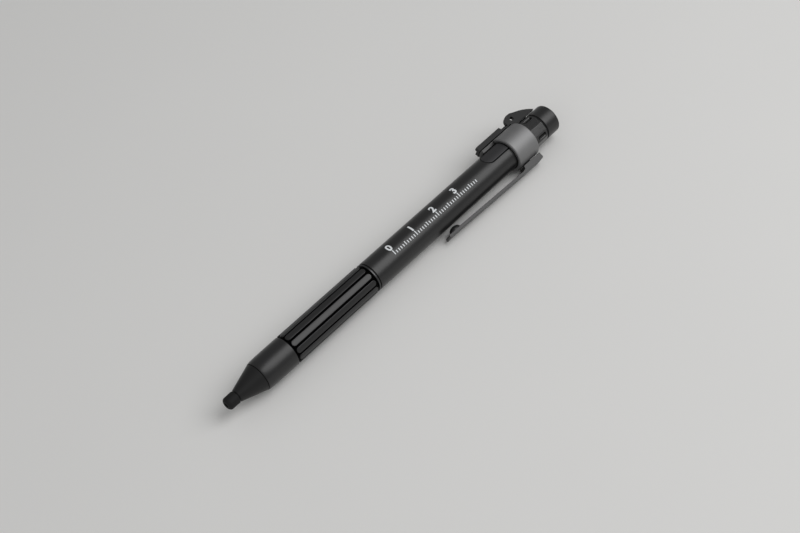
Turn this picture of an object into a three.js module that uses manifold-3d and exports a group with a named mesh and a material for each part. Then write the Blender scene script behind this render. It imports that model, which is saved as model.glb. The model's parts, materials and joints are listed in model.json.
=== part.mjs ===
// A twist ball pen with a stylus nub, a torch in its tail, a sprung clip and a bottle opener.
// Millimetres. The pen's axis is +Y, from the writing end to the tail, and +Z is up.
// Angles round the axis count from +X (the clip's side) towards +Z, in degrees.
import * as THREE from 'three';
import { mergeVertices } from 'three/addons/utils/BufferGeometryUtils.js';
import Module from 'manifold-3d';

const wasm = await Module();
wasm.setup();

// Clearances that the whole pen shares
const slideFit = 0.15; // between a piece and the bore or shaft that it slides or presses on
const seatGap = 0.3; // between a piece and the neighbour that it is seated against
const filmGap = 0.05; // between faces that all but touch
const weldGap = 0.0001; // corners closer than this are one corner
const cutOver = 1; // how far a cutter reaches past what it cuts

// Counts of flats on round faces
const outerFlats = 48;
const innerFlats = 24;
const smallFlats = 16;
const arcSteps = 4;

// Angles round the axis
const clipAngle = -30;
const openerAngle = 156;
const buttonAngle = 97;

// Button cells, which set the barrel's bore
const cellR = 3.95;
const cellLength = 3.6;
const cellCount = 3;
const cellPoleR = 2.9;
const cellPoleHeight = 0.3;
const cellClearance = 0.25;
const stackGap = 0.1; // between cells and contacts in the stack

// Barrel
const barrelWall = 0.8;
const boreR = cellR + cellClearance;
const barrelR = boreR + barrelWall;

// Ball refill
const refillR = 1.15;
const refillWall = 0.3;
const refillTubeLength = 56.5;
const refillTravel = 4.5;
const refillFlangeR = 1.75;
const refillFlangeLength = 0.5;
const refillFlangeAt = 11.9; // from the tube's front end
const plugLength = 2;
const plugHeadLength = 0.6;
const tipNeedleR = 0.62;
const tipMouthR = 0.46;
const tipTaperLength = 2.5;
const tipNeedleLength = 3.3;
const tipShoulderLength = 1.5;
const tipBodyLength = 1;
const tipStemLength = 3;
const ballR = 0.3;
const ballGap = 0.08;
const ballDepth = 1.55; // from the pen's very end back to the ball, with the refill drawn in

// Stylus nub
const nubR = 2.08;
const nubLength = 3.8;
const nubRound = 1.1;
const nubHoleR = 0.85;
const nubFrontWall = 0.9;

// Nose cone
const nippleR = 1.6;
const nippleBoreR = 1.1;
const noseGroove = 0.4; // the dark ring between nub and cone
const coneFrontR = 2.12;
const coneFrontChamfer = 0.2;
const coneLength = 8.55;
const coneRearR = 4.72;
const noseSpigotLength = 6.4;
const boreTaper = 0.5;
const springSeatDepth = 3.7; // from the cone's front face to the spring's seat

// Refill spring
const refillWireR = 0.2;
const refillCurls = 10;
const refillSpringR = refillR + slideFit + refillWireR + ballGap;

// Grip
const creaseGap = 0.15;
const creaseStep = 0.08;
const shoulderLength = 4.2;
const gripLength = 46.3;
const gripProud = 0.1; // how far the pads stand above the barrel
const gripWall = 1.05;
const padHeight = 0.45;
const padCount = 12;
const padSlotWidth = 0.7;
const padRearMargin = 0.15;
const padLength = 33.6;
const padFirstSlotAngle = 13;
const gripR = barrelR + gripProud;
const gripBoreR = gripR - gripWall;

// Joint between grip and barrel
const jointGrooveDepth = 0.5;
const frontGroove = 0.65;
const trimLength = 0.5;
const rearGroove = 0.45;
const trimGap = 0.1;

// Twist action
const bushWall = 0.4;
const bushLength = 4.8;
const camWall = 0.6;
const camPlugLength = 9.2;
const guideWall = 0.5;
const guideFrontMargin = 1; // ahead of the follower at its foremost
const guideFlangeLength = 1.4;
const guideRearMargin = 3.91; // behind the follower
const followerLength = 9.6;
const pinR = 0.45;
const pinFromRear = 1.75;
const pinRootR = 1;
const pinTipGap = 0.12;
const twistAngle = 180;
const helixOverrun = 15;
const helixStep = 11.25;

// Battery compartment
const bulkheadSpace = 3.5;
const bulkheadLength = 1.5;
const batterySpringSpace = 6.1;
const batteryWireR = 0.25;
const batteryCurls = 4;
const batterySpringR = 2.4;
const contactPlateLength = 0.4;
const contactHoleR = 0.8;

// Torch carrier and electronics
const carrierLength = 24.8;
const carrierWall = 1.15;
const carrierHalfAngle = 88;
const boardHalfWidth = 3.2;
const boardThickness = 0.8;
const boardLift = 0.15;
const switchHalfWidth = 1.5;
const switchHeight = 1.2;
const switchLength = 3.2;
const switchWallBelow = 0.35;
const stemR = 0.5;
const stemGap = 0.1;
const stemInset = 0.3; // how deep the stem sits in the switch at rest
const ledBoardLength = 0.8;
const ledFlangeR = 1.5;
const ledFlangeLength = 0.4;
const ledR = 1.25;
const ledHeight = 1.9;

// Torch button
const buttonHalfWidth = 2.53;
const buttonLength = 9.65;
const buttonGap = 0.2;
const buttonProud = 0.12;
const buttonFlangeThickness = 0.65;
const buttonFlangeHalfAngle = 47;
const buttonFlangeFront = 1.1;
const buttonFlangeRear = 1.35;

// Polished sleeve
const sleeveWall = 1.2;
const sleeveLength = 9.6;
const sleeveChamfer = 0.15;
const tongueLength = 5.7;
const tongueFrom = 141;
const tongueTo = 210;
const sleeveR = barrelR + slideFit + sleeveWall;

// Clip hinge
const clipPinR = 0.3;
const clipPinGap = 0.15;
const clipPinFromRear = 3.65;
const clipPinHeight = 0.7; // above the sleeve
const lugHalfWidth = 1;
const lugRound = 0.75;
const lugRoundAngle = 60;
const lugLength = 2.4;

// Clip
const clipHalfWidth = 2;
const clipBar = 0.9;
const clipRootHeight = 2.4; // outer face above the sleeve
const clipFootHeight = 1.55;
const clipLength = 45;
const clipRootLength = 8.15;
const clipRootWeb = 0.5;
const clipRootFrontWall = 1;
const clipRootLift = 0.25; // under side of the cheeks above the sleeve
const clipRearOverrun = 2.85; // behind the pin
const clipRootLean = 0.3; // how far the root's front wall leans back
const clipHaunchLength = 1.2; // the thicker end of the bar, in front of the root
const clipHaunchDepth = 0.3;
const clipCorner = 0.6;
const beadLength = 4.5;
const beadDepth = 1.45;
const beadFromEnd = 1.7;
const nibR = 0.55; // the round end of the bar
const springLeaf = 0.25;

// Bottle opener
const openerThickness = 1.6;
const openerFrontInset = 0.05; // behind the tongue's front edge
const ledgeLength = 11.8;
const ledgeHeight = 1.65;
const ledgeChamfer = 0.35;
const notchLength = 2.6;
const notchDepth = 1.35;
const notchSlant = 0.5;
const earLength = 11.4;
const earHeight = 3.35; // above the sleeve
const earCorner = 2.2;
const earHoleR = 0.7;
const earHoleBehind = 2.9;
const earHoleHeight = 1.45;
const earInnerGap = 0.35;
// The ear's sloping rear edge, as shares of its height and length
const earTailShares = [
  [0.99, 0.32], [0.87, 0.42], [0.77, 0.52], [0.67, 0.62], [0.54, 0.72], [0.38, 0.82], [0.19, 0.92],
];
const saddleWidth = 1.8; // past the plate's side
const saddleThickness = 0.95;
const saddleRearInset = 0.3;
const rivetR = 0.5;
const rivetHeadR = 0.8;
const rivetHeadHeight = 0.3;
const rivetSide = 0.9; // past the plate's side
const rivetFromFront = 3;
const rivetFromRear = 3.8;
const rivetHoleGap = 0.2;

// Collar
const collarGap = 0.3;
const collarLength = 5.65;
const collarFlats = 12;
const collarFlatR = 4.97;
const collarRoundR = 5.12;
const collarFirstCorner = -1;
const collarChamfer = 0.15;
const collarSpigotLength = 5.75;
const collarSpigotWall = 0.6;
const collarSlotAngle = 14; // the middle of a flat
const collarSlotCount = 4;
const collarSlotHalfWidth = 0.75;
const collarSlotLength = 3.9;
const collarSlotFromRear = 0.42;
const collarSlotDepth = 0.6;
const threadLength = 3.5;
const threadWall = 0.8;
const ledgeInR = 2.6;
const ledgeInLength = 0.4;

// Seal, tail cap, reflector and lens
const sealSpace = 0.7;
const sealR = 0.28;
const sealLift = 0.07;
const capLength = 5.6;
const capRound = 0.6;
const capThreadGap = 0.2;
const capMouthR = 3.3;
const capLip = 0.8;
const capShoulder = 2.9; // from the cap's front edge to the lens bore
const lensThickness = 1.2;
const lensDome = 0.15;
const lensBoreR = 3.9;
const lensGap = 0.1;
const reflectorRim = 0.3;
const reflectorWall = 0.22;
const reflectorThroatR = 1.65;
const reflectorLength = 4;

// Stations along the axis
const nippleFrontY = nubFrontWall + slideFit;
const coneFrontY = nubLength + noseGroove;
const creaseY = coneFrontY + coneLength;
const gripFrontY = creaseY + creaseGap;
const gripRearY = gripFrontY + gripLength;
const noseRearY = creaseY + noseSpigotLength;
const trimFrontY = gripRearY + frontGroove;
const trimRearY = trimFrontY + trimLength;
const barrelFrontY = trimRearY + rearGroove;
const tipFrontY = ballDepth + ballR;
const tipShoulderY = tipFrontY + tipTaperLength + tipNeedleLength;
const tipRearY = tipShoulderY + tipShoulderLength + tipBodyLength;
const refillTubeY = tipRearY + ballGap;
const refillTubeRearY = refillTubeY + refillTubeLength;
const refillFlangeY = refillTubeY + refillFlangeAt;
const followerFrontY = refillTubeRearY + plugHeadLength + 2 * ballGap;
const followerRearY = followerFrontY + followerLength;
const pinY = followerRearY - pinFromRear;
const guideFrontY = followerFrontY - refillTravel - guideFrontMargin;
const guideRearY = followerRearY + guideRearMargin;
const bulkheadFrontY = guideRearY + bulkheadSpace;
const bulkheadRearY = bulkheadFrontY + bulkheadLength;
const cellsFrontY = bulkheadRearY + batterySpringSpace;
const cellPitch = cellLength + stackGap;
const contactFrontY = cellsFrontY + cellCount * cellPitch;
const carrierFrontY = contactFrontY + contactPlateLength + seatGap;
const carrierRearY = carrierFrontY + carrierLength;
const barrelRearY = carrierRearY + seatGap + collarSpigotLength;
const sleeveFrontY = barrelRearY - sleeveLength;
const tongueFrontY = sleeveFrontY - tongueLength;
const collarFrontY = barrelRearY + collarGap;
const collarRearY = collarFrontY + collarLength;
const collarThreadY = collarRearY + threadLength;
const capFrontY = collarRearY + sealSpace;
const capRearY = capFrontY + capLength;
const ledgeInY = collarRearY - ledgeInLength;
const springSeatY = coneFrontY + springSeatDepth;

// Radii of the tubes that run inside one another
const bushOuterR = boreR - slideFit;
const bushInnerR = bushOuterR - bushWall;
const camOuterR = bushInnerR - slideFit;
const camInnerR = camOuterR - camWall;
const guideOuterR = camInnerR - slideFit;
const guideInnerR = guideOuterR - guideWall;
const followerR = guideInnerR - slideFit;
const noseSpigotR = gripBoreR - slideFit;
const chamberR = refillSpringR + refillWireR + seatGap;
const tubeBoreR = refillR + seatGap;
const jointLipR = barrelR - jointGrooveDepth;
const spigotOuterR = boreR - slideFit;
const spigotInnerR = spigotOuterR - collarSpigotWall;
const threadOuterR = spigotInnerR + threadWall;

// Finishes, as seen on the pen
const finishes = {
  satinBlack: { color: 0x1e1e1f, roughness: 0.4, metalness: 0.5 },
  glossBlack: { color: 0x1a1a1b, roughness: 0.22, metalness: 0.4 },
  darkPlate: { color: 0x222223, roughness: 0.38, metalness: 0.6 },
  mattBlack: { color: 0x18181a, roughness: 0.75, metalness: 0 },
  rubberBlack: { color: 0x141415, roughness: 0.85, metalness: 0 },
  polished: { color: 0xc9cbce, roughness: 0.1, metalness: 1 },
  greyTrim: { color: 0x8b8d90, roughness: 0.3, metalness: 1 },
  springSteel: { color: 0xa9abad, roughness: 0.3, metalness: 1 },
  brass: { color: 0xb5924c, roughness: 0.35, metalness: 1 },
  innerPlastic: { color: 0xd9d6cc, roughness: 0.5, metalness: 0 },
  board: { color: 0x1f5b3a, roughness: 0.55, metalness: 0 },
  ledYellow: { color: 0xf1e6a8, roughness: 0.25, metalness: 0 },
  clearLens: { color: 0xe8eef2, roughness: 0.05, metalness: 0 },
};

const rad = (degrees) => THREE.MathUtils.degToRad(degrees);

// A closed mesh with shared corners and no triangle that has collapsed
function welded(geometry) {
  const plain = geometry.clone();
  plain.deleteAttribute('normal');
  plain.deleteAttribute('uv');
  const merged = mergeVertices(plain, weldGap);
  const corners = Array.from(merged.index.array);
  const kept = [];
  for (let i = 0; i < corners.length; i += 3) {
    const [a, b, c] = corners.slice(i, i + 3);
    if (a !== b && b !== c && c !== a) kept.push(a, b, c);
  }
  merged.setIndex(kept);
  return merged;
}

function solidOf(geometry) {
  const mesh = welded(geometry);
  const vertProperties = new Float32Array(mesh.attributes.position.array);
  const triVerts = Uint32Array.from(mesh.index.array);
  return new wasm.Manifold(new wasm.Mesh({ numProp: 3, vertProperties, triVerts }));
}

function geometryOf(solid) {
  const mesh = solid.getMesh();
  const geometry = new THREE.BufferGeometry();
  geometry.setAttribute('position', new THREE.BufferAttribute(mesh.vertProperties, 3));
  geometry.setIndex(Array.from(mesh.triVerts));
  return geometry;
}

const cut = (body, ...tools) =>
  geometryOf(tools.reduce((rest, tool) => rest.subtract(solidOf(tool)), solidOf(body)));
const join = (body, ...others) =>
  geometryOf(others.reduce((whole, other) => whole.add(solidOf(other)), solidOf(body)));
const common = (body, other) => geometryOf(solidOf(body).intersect(solidOf(other)));

// A profile of [radius, y] corners turned about the pen's axis
function lathe(profile, flats) {
  const points = profile.map(([r, y]) => new THREE.Vector2(r, y));
  if (THREE.ShapeUtils.area(points) < 0) points.reverse();
  const onAxis = points[0].x === 0 && points[points.length - 1].x === 0;
  if (!onAxis) points.push(points[0].clone());
  return welded(new THREE.LatheGeometry(points, flats));
}

const ring = (innerR, outerR, y0, y1, flats) =>
  lathe([[innerR, y0], [outerR, y0], [outerR, y1], [innerR, y1]], flats);
const disc = (r, y0, y1, flats) => lathe([[0, y0], [r, y0], [r, y1], [0, y1]], flats);

// Corners along an arc, from one angle to another in degrees
function arc(centreA, centreB, r, from, to, steps = arcSteps) {
  const corners = [];
  for (let i = 0; i <= steps; i += 1) {
    const angle = rad(from + ((to - from) * i) / steps);
    corners.push([centreA + r * Math.cos(angle), centreB + r * Math.sin(angle)]);
  }
  return corners;
}

const outline = (corners) => new THREE.Shape(corners.map(([a, b]) => new THREE.Vector2(a, b)));
const extruded = (corners, depth) =>
  new THREE.ExtrudeGeometry(outline(corners), { depth, bevelEnabled: false });

// An outline across the axis, [x, z], made long from y0 to y1
function prism(corners, y0, y1) {
  return extruded(corners, y1 - y0).rotateX(Math.PI / 2).translate(0, y1, 0);
}

// An outline in the plane of a radius and the axis, [outward, y], made thick from side w0 to w1
function plate(corners, w0, w1) {
  return extruded(corners, w1 - w0).translate(0, 0, w0);
}

// An outline seen from outside, [side, y], made deep from s0 outwards to s1
function boss(corners, s0, s1) {
  const mirrored = corners.map(([side, y]) => [-side, y]);
  return extruded(mirrored, s1 - s0).rotateY(Math.PI / 2).translate(s0, 0, 0);
}

const box = (a0, a1, b0, b1) => [[a0, b0], [a1, b0], [a1, b1], [a0, b1]];

// A slot outline with round ends, [side, y]
function slotOutline(halfWidth, y0, y1) {
  return [
    ...arc(0, y0 + halfWidth, halfWidth, 180, 360),
    ...arc(0, y1 - halfWidth, halfWidth, 0, 180),
  ];
}

// A round shaft along the side direction, centred on [outward, y]
const crossShaft = (s, y, r, w0, w1, flats) => plate(arc(s, y, r, 0, 360, flats).slice(0, -1), w0, w1);
// A round shaft along the outward direction, centred on [side, y]
const radialShaft = (w, y, r, s0, s1, flats) => boss(arc(w, y, r, 0, 360, flats).slice(0, -1), s0, s1);

// A sector of a tube, between two angles
function sector(innerR, outerR, from, to, y0, y1) {
  const steps = Math.ceil(Math.abs(to - from) / (360 / outerFlats));
  const corners = [...arc(0, 0, outerR, from, to, steps), ...arc(0, 0, innerR, to, from, steps)];
  return prism(corners, y0, y1);
}

// Rings of points joined into one closed body
function loft(rings) {
  const sides = rings[0].length;
  const positions = rings.flat().flatMap((p) => [p.x, p.y, p.z]);
  const faces = [];
  for (let i = 0; i + 1 < rings.length; i += 1) {
    for (let j = 0; j < sides; j += 1) {
      const a = i * sides + j;
      const b = i * sides + ((j + 1) % sides);
      faces.push(a, b, b + sides, a, b + sides, a + sides);
    }
  }
  const last = (rings.length - 1) * sides;
  for (let j = 1; j + 1 < sides; j += 1) {
    faces.push(0, j + 1, j, last, last + j, last + j + 1);
  }
  const geometry = new THREE.BufferGeometry();
  geometry.setAttribute('position', new THREE.Float32BufferAttribute(positions, 3));
  geometry.setIndex(faces);
  return geometry;
}

// A wound spring: 8 steps of 5 sides a curl, with its axis on the pen's axis
function coil(name, meanR, wireR, curls, y0, y1) {
  const stepsPerCurl = 8;
  const sides = 5;
  const steps = curls * stepsPerCurl;
  const rise = (y1 - y0 - 2 * wireR) / steps;
  const rings = [];
  for (let i = 0; i <= steps; i += 1) {
    const turn = (2 * Math.PI * i) / stepsPerCurl;
    const y = y0 + wireR + rise * i;
    const section = arc(meanR, y, wireR, 0, 360, sides).slice(0, -1);
    rings.push(section.map(([r, h]) => new THREE.Vector3(r * Math.cos(turn), h, r * Math.sin(turn))));
  }
  const gap = rise * stepsPerCurl - 2 * wireR;
  console.log(`${name}: least gap between curls ${gap.toFixed(2)} mm`);
  return loft(rings);
}

const pen = new THREE.Group();

// A group turned about the axis, so that its +X points outwards at the angle
function turned(angle, parent = pen) {
  const group = new THREE.Group();
  group.rotation.y = -rad(angle);
  parent.add(group);
  return group;
}

// The same turn for a cutter that works on a piece outside the group
const atAngle = (geometry, angle) => geometry.rotateY(-rad(angle));

function add(name, geometry, finish, parent = pen) {
  const material = new THREE.MeshStandardMaterial({ ...finishes[finish], flatShading: true });
  const mesh = new THREE.Mesh(geometry, material);
  mesh.name = name;
  parent.add(mesh);
}

function stylusTip() {
  const sleeveBoreR = nippleR + slideFit;
  return lathe([
    [nubHoleR, 0],
    ...arc(nubR - nubRound, nubRound, nubRound, -90, 0),
    [nubR, nubLength],
    [sleeveBoreR, nubLength],
    [sleeveBoreR, nubFrontWall],
    [nubHoleR, nubFrontWall],
  ], innerFlats);
}

function noseCone() {
  const chamferRearY = coneFrontY + coneFrontChamfer;
  return lathe([
    [nippleR, nippleFrontY],
    [nippleR, coneFrontY],
    [coneFrontR - coneFrontChamfer, coneFrontY],
    [coneFrontR, chamferRearY],
    [coneRearR, creaseY],
    [noseSpigotR, creaseY],
    [noseSpigotR, noseRearY],
    [chamberR, noseRearY],
    [chamberR, springSeatY],
    [tubeBoreR, springSeatY],
    [tubeBoreR, coneFrontY + boreTaper / 2],
    [nippleBoreR, coneFrontY - boreTaper / 2],
    [nippleBoreR, nippleFrontY],
  ], outerFlats);
}

function gripBarrel() {
  const shoulderFrontR = coneRearR + creaseStep;
  const shoulderY = gripFrontY + shoulderLength;
  const lipRearY = trimFrontY - trimGap;
  // The shoulder is a quarter of an ellipse
  const shoulder = arc(0, 0, 1, 180, 90, 2 * arcSteps).map(([a, b]) => [
    shoulderFrontR + (gripR - shoulderFrontR) * b,
    shoulderY + shoulderLength * a,
  ]);
  const blank = lathe([
    [gripBoreR, gripFrontY],
    ...shoulder,
    [gripR, gripRearY],
    [jointLipR, gripRearY],
    [jointLipR, lipRearY],
    [gripBoreR, lipRearY],
  ], outerFlats);
  const padRearY = gripRearY - padRearMargin;
  const padFrontY = padRearY - padLength;
  const pitch = 360 / padCount;
  const padHalfWidth = gripR * Math.sin(rad(pitch / 2)) - padSlotWidth / 2;
  const baseR = gripR - padHeight;
  const hollow = ring(baseR, gripR + cutOver, padFrontY - padSlotWidth, gripRearY + cutOver, outerFlats);
  const padCorners = slotOutline(padHalfWidth, padFrontY, padRearY);
  const padTool = () => boss(padCorners, baseR - cutOver, gripR + 2 * cutOver);
  const pads = [];
  for (let i = 0; i < padCount; i += 1) {
    pads.push(atAngle(padTool(), padFirstSlotAngle + pitch * (i + 0.5)));
  }
  return cut(blank, cut(hollow, ...pads));
}

function trimRing() {
  return ring(camOuterR + slideFit, barrelR, trimFrontY, trimRearY, outerFlats);
}

// A body that follows the helical slot, a little wider than the follower's pin
function helixTool() {
  const slope = refillTravel / (camOuterR * rad(twistAngle));
  const halfWidth = (pinR + slideFit) * Math.sqrt(1 + slope * slope);
  const swept = twistAngle + 2 * helixOverrun;
  const steps = Math.ceil(swept / helixStep);
  const rings = [];
  for (let i = 0; i <= steps; i += 1) {
    const angle = -helixOverrun + (swept * i) / steps;
    const y = pinY - (refillTravel * angle) / twistAngle;
    const corners = box(camInnerR - slideFit, camOuterR + slideFit, y - halfWidth, y + halfWidth);
    const turn = rad(angle);
    rings.push(corners.map(([r, h]) => new THREE.Vector3(r * Math.cos(turn), h, r * Math.sin(turn))));
  }
  return loft(rings);
}

function twistCam() {
  const plugRearY = gripRearY - slideFit;
  const rearY = guideRearY - guideFlangeLength - seatGap;
  const plugR = gripBoreR - slideFit;
  const blank = lathe([
    [camInnerR, plugRearY - camPlugLength],
    [plugR, plugRearY - camPlugLength],
    [plugR, plugRearY],
    [camOuterR, plugRearY],
    [camOuterR, rearY],
    [camInnerR, rearY],
  ], innerFlats);
  return cut(blank, helixTool());
}

function camGuide() {
  const flangeY = guideRearY - guideFlangeLength;
  const blank = lathe([
    [guideInnerR, guideFrontY],
    [guideOuterR, guideFrontY],
    [guideOuterR, flangeY],
    [bushOuterR, flangeY],
    [bushOuterR, guideRearY],
    [guideInnerR, guideRearY],
  ], innerFlats);
  const halfWidth = pinR + slideFit;
  const slot = slotOutline(halfWidth, pinY - refillTravel - halfWidth, pinY + halfWidth);
  return cut(blank, boss(slot, followerR, camOuterR));
}

function camFollower() {
  const hole = radialShaft(0, pinY, pinR + slideFit, pinRootR - slideFit, followerR + cutOver, smallFlats);
  return cut(disc(followerR, followerFrontY, followerRearY, innerFlats), hole);
}

const followerPin = () => radialShaft(0, pinY, pinR, pinRootR, camOuterR - pinTipGap, smallFlats);

function writingBall() {
  const profile = arc(0, ballDepth + ballR, ballR, -90, 90, 2 * arcSteps);
  profile[0][0] = 0;
  profile[profile.length - 1][0] = 0;
  return lathe(profile, smallFlats);
}

function refillTip() {
  const socketR = ballR + ballGap;
  const socketY = ballDepth + 2 * ballR + ballGap;
  const stemR = refillR - refillWall - ballGap;
  return lathe([
    [0, socketY],
    [socketR, socketY],
    [socketR, tipFrontY],
    [tipMouthR, tipFrontY],
    [tipNeedleR, tipFrontY + tipTaperLength],
    [tipNeedleR, tipShoulderY],
    [refillR, tipShoulderY + tipShoulderLength],
    [refillR, tipRearY],
    [stemR, tipRearY],
    [stemR, tipRearY + tipStemLength],
    [0, tipRearY + tipStemLength],
  ], smallFlats);
}

function refillTube() {
  const innerR = refillR - refillWall;
  return lathe([
    [innerR, refillTubeY],
    [refillR, refillTubeY],
    [refillR, refillFlangeY],
    [refillFlangeR, refillFlangeY],
    [refillFlangeR, refillFlangeY + refillFlangeLength],
    [refillR, refillFlangeY + refillFlangeLength],
    [refillR, refillTubeRearY],
    [innerR, refillTubeRearY],
  ], smallFlats);
}

function refillPlug() {
  const stemR = refillR - refillWall - ballGap;
  const headY = refillTubeRearY + ballGap;
  return lathe([
    [0, headY - plugLength],
    [stemR, headY - plugLength],
    [stemR, headY],
    [refillR, headY],
    [refillR, headY + plugHeadLength],
    [0, headY + plugHeadLength],
  ], smallFlats);
}

// The barrel, with the button's slot cut through its wall
function barrel() {
  const lipFrontY = trimRearY + trimGap;
  const tube = lathe([
    [boreR, lipFrontY],
    [jointLipR, lipFrontY],
    [jointLipR, barrelFrontY],
    [barrelR, barrelFrontY],
    [barrelR, barrelRearY],
    [boreR, barrelRearY],
  ], outerFlats);
  const tool = boss(buttonOutline(buttonGap), 0, barrelR + cutOver);
  return cut(tube, atAngle(tool, buttonAngle));
}

const buttonRearY = sleeveFrontY - buttonGap;
const buttonFrontY = buttonRearY - buttonLength;

// The button seen from outside, [side, y], grown by a margin: round in front, square behind
function buttonOutline(margin) {
  const halfWidth = buttonHalfWidth + margin;
  return [
    ...arc(0, buttonFrontY + buttonHalfWidth, halfWidth, 180, 360, 3 * arcSteps),
    [halfWidth, buttonRearY + margin],
    [-halfWidth, buttonRearY + margin],
  ];
}

const buttonFlangeInnerR = boreR - slideFit - buttonFlangeThickness;

function torchButton() {
  const flange = sector(
    buttonFlangeInnerR,
    boreR - slideFit,
    -buttonFlangeHalfAngle,
    buttonFlangeHalfAngle,
    buttonFrontY - buttonFlangeFront,
    buttonRearY + buttonFlangeRear,
  );
  const rootR = boreR - slideFit - buttonFlangeThickness / 2;
  const raised = boss(buttonOutline(0), 0, barrelR + cutOver);
  const skin = ring(
    rootR,
    barrelR + buttonProud,
    buttonFrontY - cutOver,
    buttonRearY + cutOver,
    outerFlats,
  );
  return join(flange, common(raised, skin));
}

const boardTop = boardLift + boardThickness;
const switchY = (buttonFrontY + buttonRearY) / 2;
const switchTop = boardTop + slideFit + switchHeight;
const stemTop = buttonFlangeInnerR - stemGap;

function torchCarrier() {
  const outerR = boreR - slideFit;
  return sector(
    outerR - carrierWall,
    outerR,
    180 - carrierHalfAngle,
    180 + carrierHalfAngle,
    carrierFrontY,
    carrierRearY,
  );
}

const ledBoardRearY = ledgeInY - slideFit;
const ledBoardFrontY = ledBoardRearY - ledBoardLength;

function circuitBoard() {
  const corners = box(-boardHalfWidth, boardHalfWidth, carrierFrontY + seatGap, ledBoardFrontY - seatGap);
  return boss(corners, boardLift, boardTop);
}

function switchBody() {
  const half = switchLength / 2;
  const corners = box(-switchHalfWidth, switchHalfWidth, switchY - half, switchY + half);
  const body = boss(corners, boardTop + slideFit, switchTop);
  const floor = boardTop + slideFit + switchWallBelow;
  return cut(body, radialShaft(0, switchY, stemR + slideFit, floor, switchTop + cutOver, smallFlats));
}

const switchStem = () => radialShaft(0, switchY, stemR, switchTop - stemInset, stemTop, smallFlats);

function led() {
  const baseY = ledBoardRearY + filmGap;
  const flangeY = baseY + ledFlangeLength;
  const dome = arc(0, baseY + ledHeight - ledR, ledR, 0, 90);
  dome[arcSteps][0] = 0;
  return lathe([
    [0, baseY],
    [ledFlangeR, baseY],
    [ledFlangeR, flangeY],
    [ledR, flangeY],
    ...dome,
  ], smallFlats);
}

const clipPinY = barrelRearY - clipPinFromRear;
const clipPinS = sleeveR + clipPinHeight;
const rivetW = openerThickness / 2 + rivetSide;
const rivetYs = [tongueFrontY + rivetFromFront, barrelRearY - rivetFromRear];

// The band with its forward tongue, the clip's lug and the holes for the opener's rivets
function clipSleeve() {
  const innerR = barrelR + slideFit;
  const tube = lathe([
    [innerR, tongueFrontY],
    [sleeveR - sleeveChamfer, tongueFrontY],
    [sleeveR, tongueFrontY + sleeveChamfer],
    [sleeveR, barrelRearY - sleeveChamfer],
    [sleeveR - sleeveChamfer, barrelRearY],
    [innerR, barrelRearY],
  ], outerFlats);
  const away = [[0, 0], ...arc(0, 0, 2 * sleeveR, tongueTo, tongueFrom + 360, outerFlats / arcSteps)];
  const besideTongue = prism(away, tongueFrontY - cutOver, sleeveFrontY);
  const lugFrontY = clipPinY - lugLength / 2;
  const lugRearY = clipPinY + lugLength / 2;
  const lugCorners = [
    [innerR + sleeveWall / 2, lugFrontY],
    [clipPinS, lugFrontY],
    ...arc(clipPinS, clipPinY, lugRound, -lugRoundAngle, lugRoundAngle),
    [clipPinS, lugRearY],
    [innerR + sleeveWall / 2, lugRearY],
  ];
  const lug = atAngle(plate(lugCorners, -lugHalfWidth, lugHalfWidth), clipAngle);
  const reach = lugHalfWidth + cutOver;
  const pinTool = crossShaft(clipPinS, clipPinY, clipPinR + clipPinGap, -reach, reach, smallFlats);
  const rivetHoleR = rivetR + rivetHoleGap;
  const rivetTools = rivetYs.map((y) => {
    const tool = radialShaft(rivetW, y, rivetHoleR, innerR - cutOver, sleeveR + cutOver, smallFlats);
    return atAngle(tool, openerAngle);
  });
  return cut(join(cut(tube, besideTongue), lug), atAngle(pinTool, clipAngle), ...rivetTools);
}

function clipPin() {
  const half = clipHalfWidth - clipPinGap / 2;
  return crossShaft(clipPinS, clipPinY, clipPinR, -half, half, smallFlats);
}

const clipRearY = clipPinY + clipRearOverrun;
const clipFrontY = clipRearY - clipLength;
const clipRootFrontY = clipRearY - clipRootLength;
const clipRootS = sleeveR + clipRootHeight;
const clipFootS = sleeveR + clipFootHeight;
const beadRearY = clipFrontY + beadFromEnd + beadLength;

// The clip's side outline: bar, bead, nib and root block
function clip() {
  const beadFrontY = clipFrontY + beadFromEnd;
  const footInnerS = clipFootS - clipBar;
  const rootInnerS = sleeveR + clipRootLift;
  const barRearInnerS = clipRootS - clipBar - filmGap;
  const innerRise = (barRearInnerS - footInnerS) / (clipRootFrontY - beadRearY);
  const bead = arc(0, 0, 1, 90, 270, 2 * arcSteps).map(([a, b]) => [
    footInnerS + beadDepth * a,
    (beadFrontY + beadRearY) / 2 + (beadLength / 2) * b,
  ]);
  const nibNeck = THREE.MathUtils.radToDeg(Math.acos(clipBar / 2 / nibR));
  const corners = [
    [clipRootS - filmGap, clipRootFrontY],
    [clipRootS, clipRootFrontY],
    ...arc(clipRootS - clipCorner, clipRearY - clipCorner, clipCorner, 0, 90),
    [rootInnerS, clipRearY],
    [rootInnerS, clipRootFrontY + clipRootLean],
    [barRearInnerS - clipHaunchDepth, clipRootFrontY],
    [barRearInnerS - innerRise * clipHaunchLength, clipRootFrontY - clipHaunchLength],
    ...bead,
    ...arc(clipFootS - clipBar / 2, clipFrontY + nibR, nibR, 180 - nibNeck, 360 + nibNeck, 2 * arcSteps),
  ];
  const channel = plate(
    box(0, clipRootS - clipRootWeb, clipRootFrontY + clipRootFrontWall, clipRearY + cutOver),
    -lugHalfWidth - seatGap,
    lugHalfWidth + seatGap,
  );
  const reach = clipHalfWidth + cutOver;
  const pinTool = crossShaft(clipPinS, clipPinY, clipPinR + clipPinGap, -reach, reach, smallFlats);
  return cut(plate(corners, -clipHalfWidth, clipHalfWidth), channel, pinTool);
}

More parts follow.
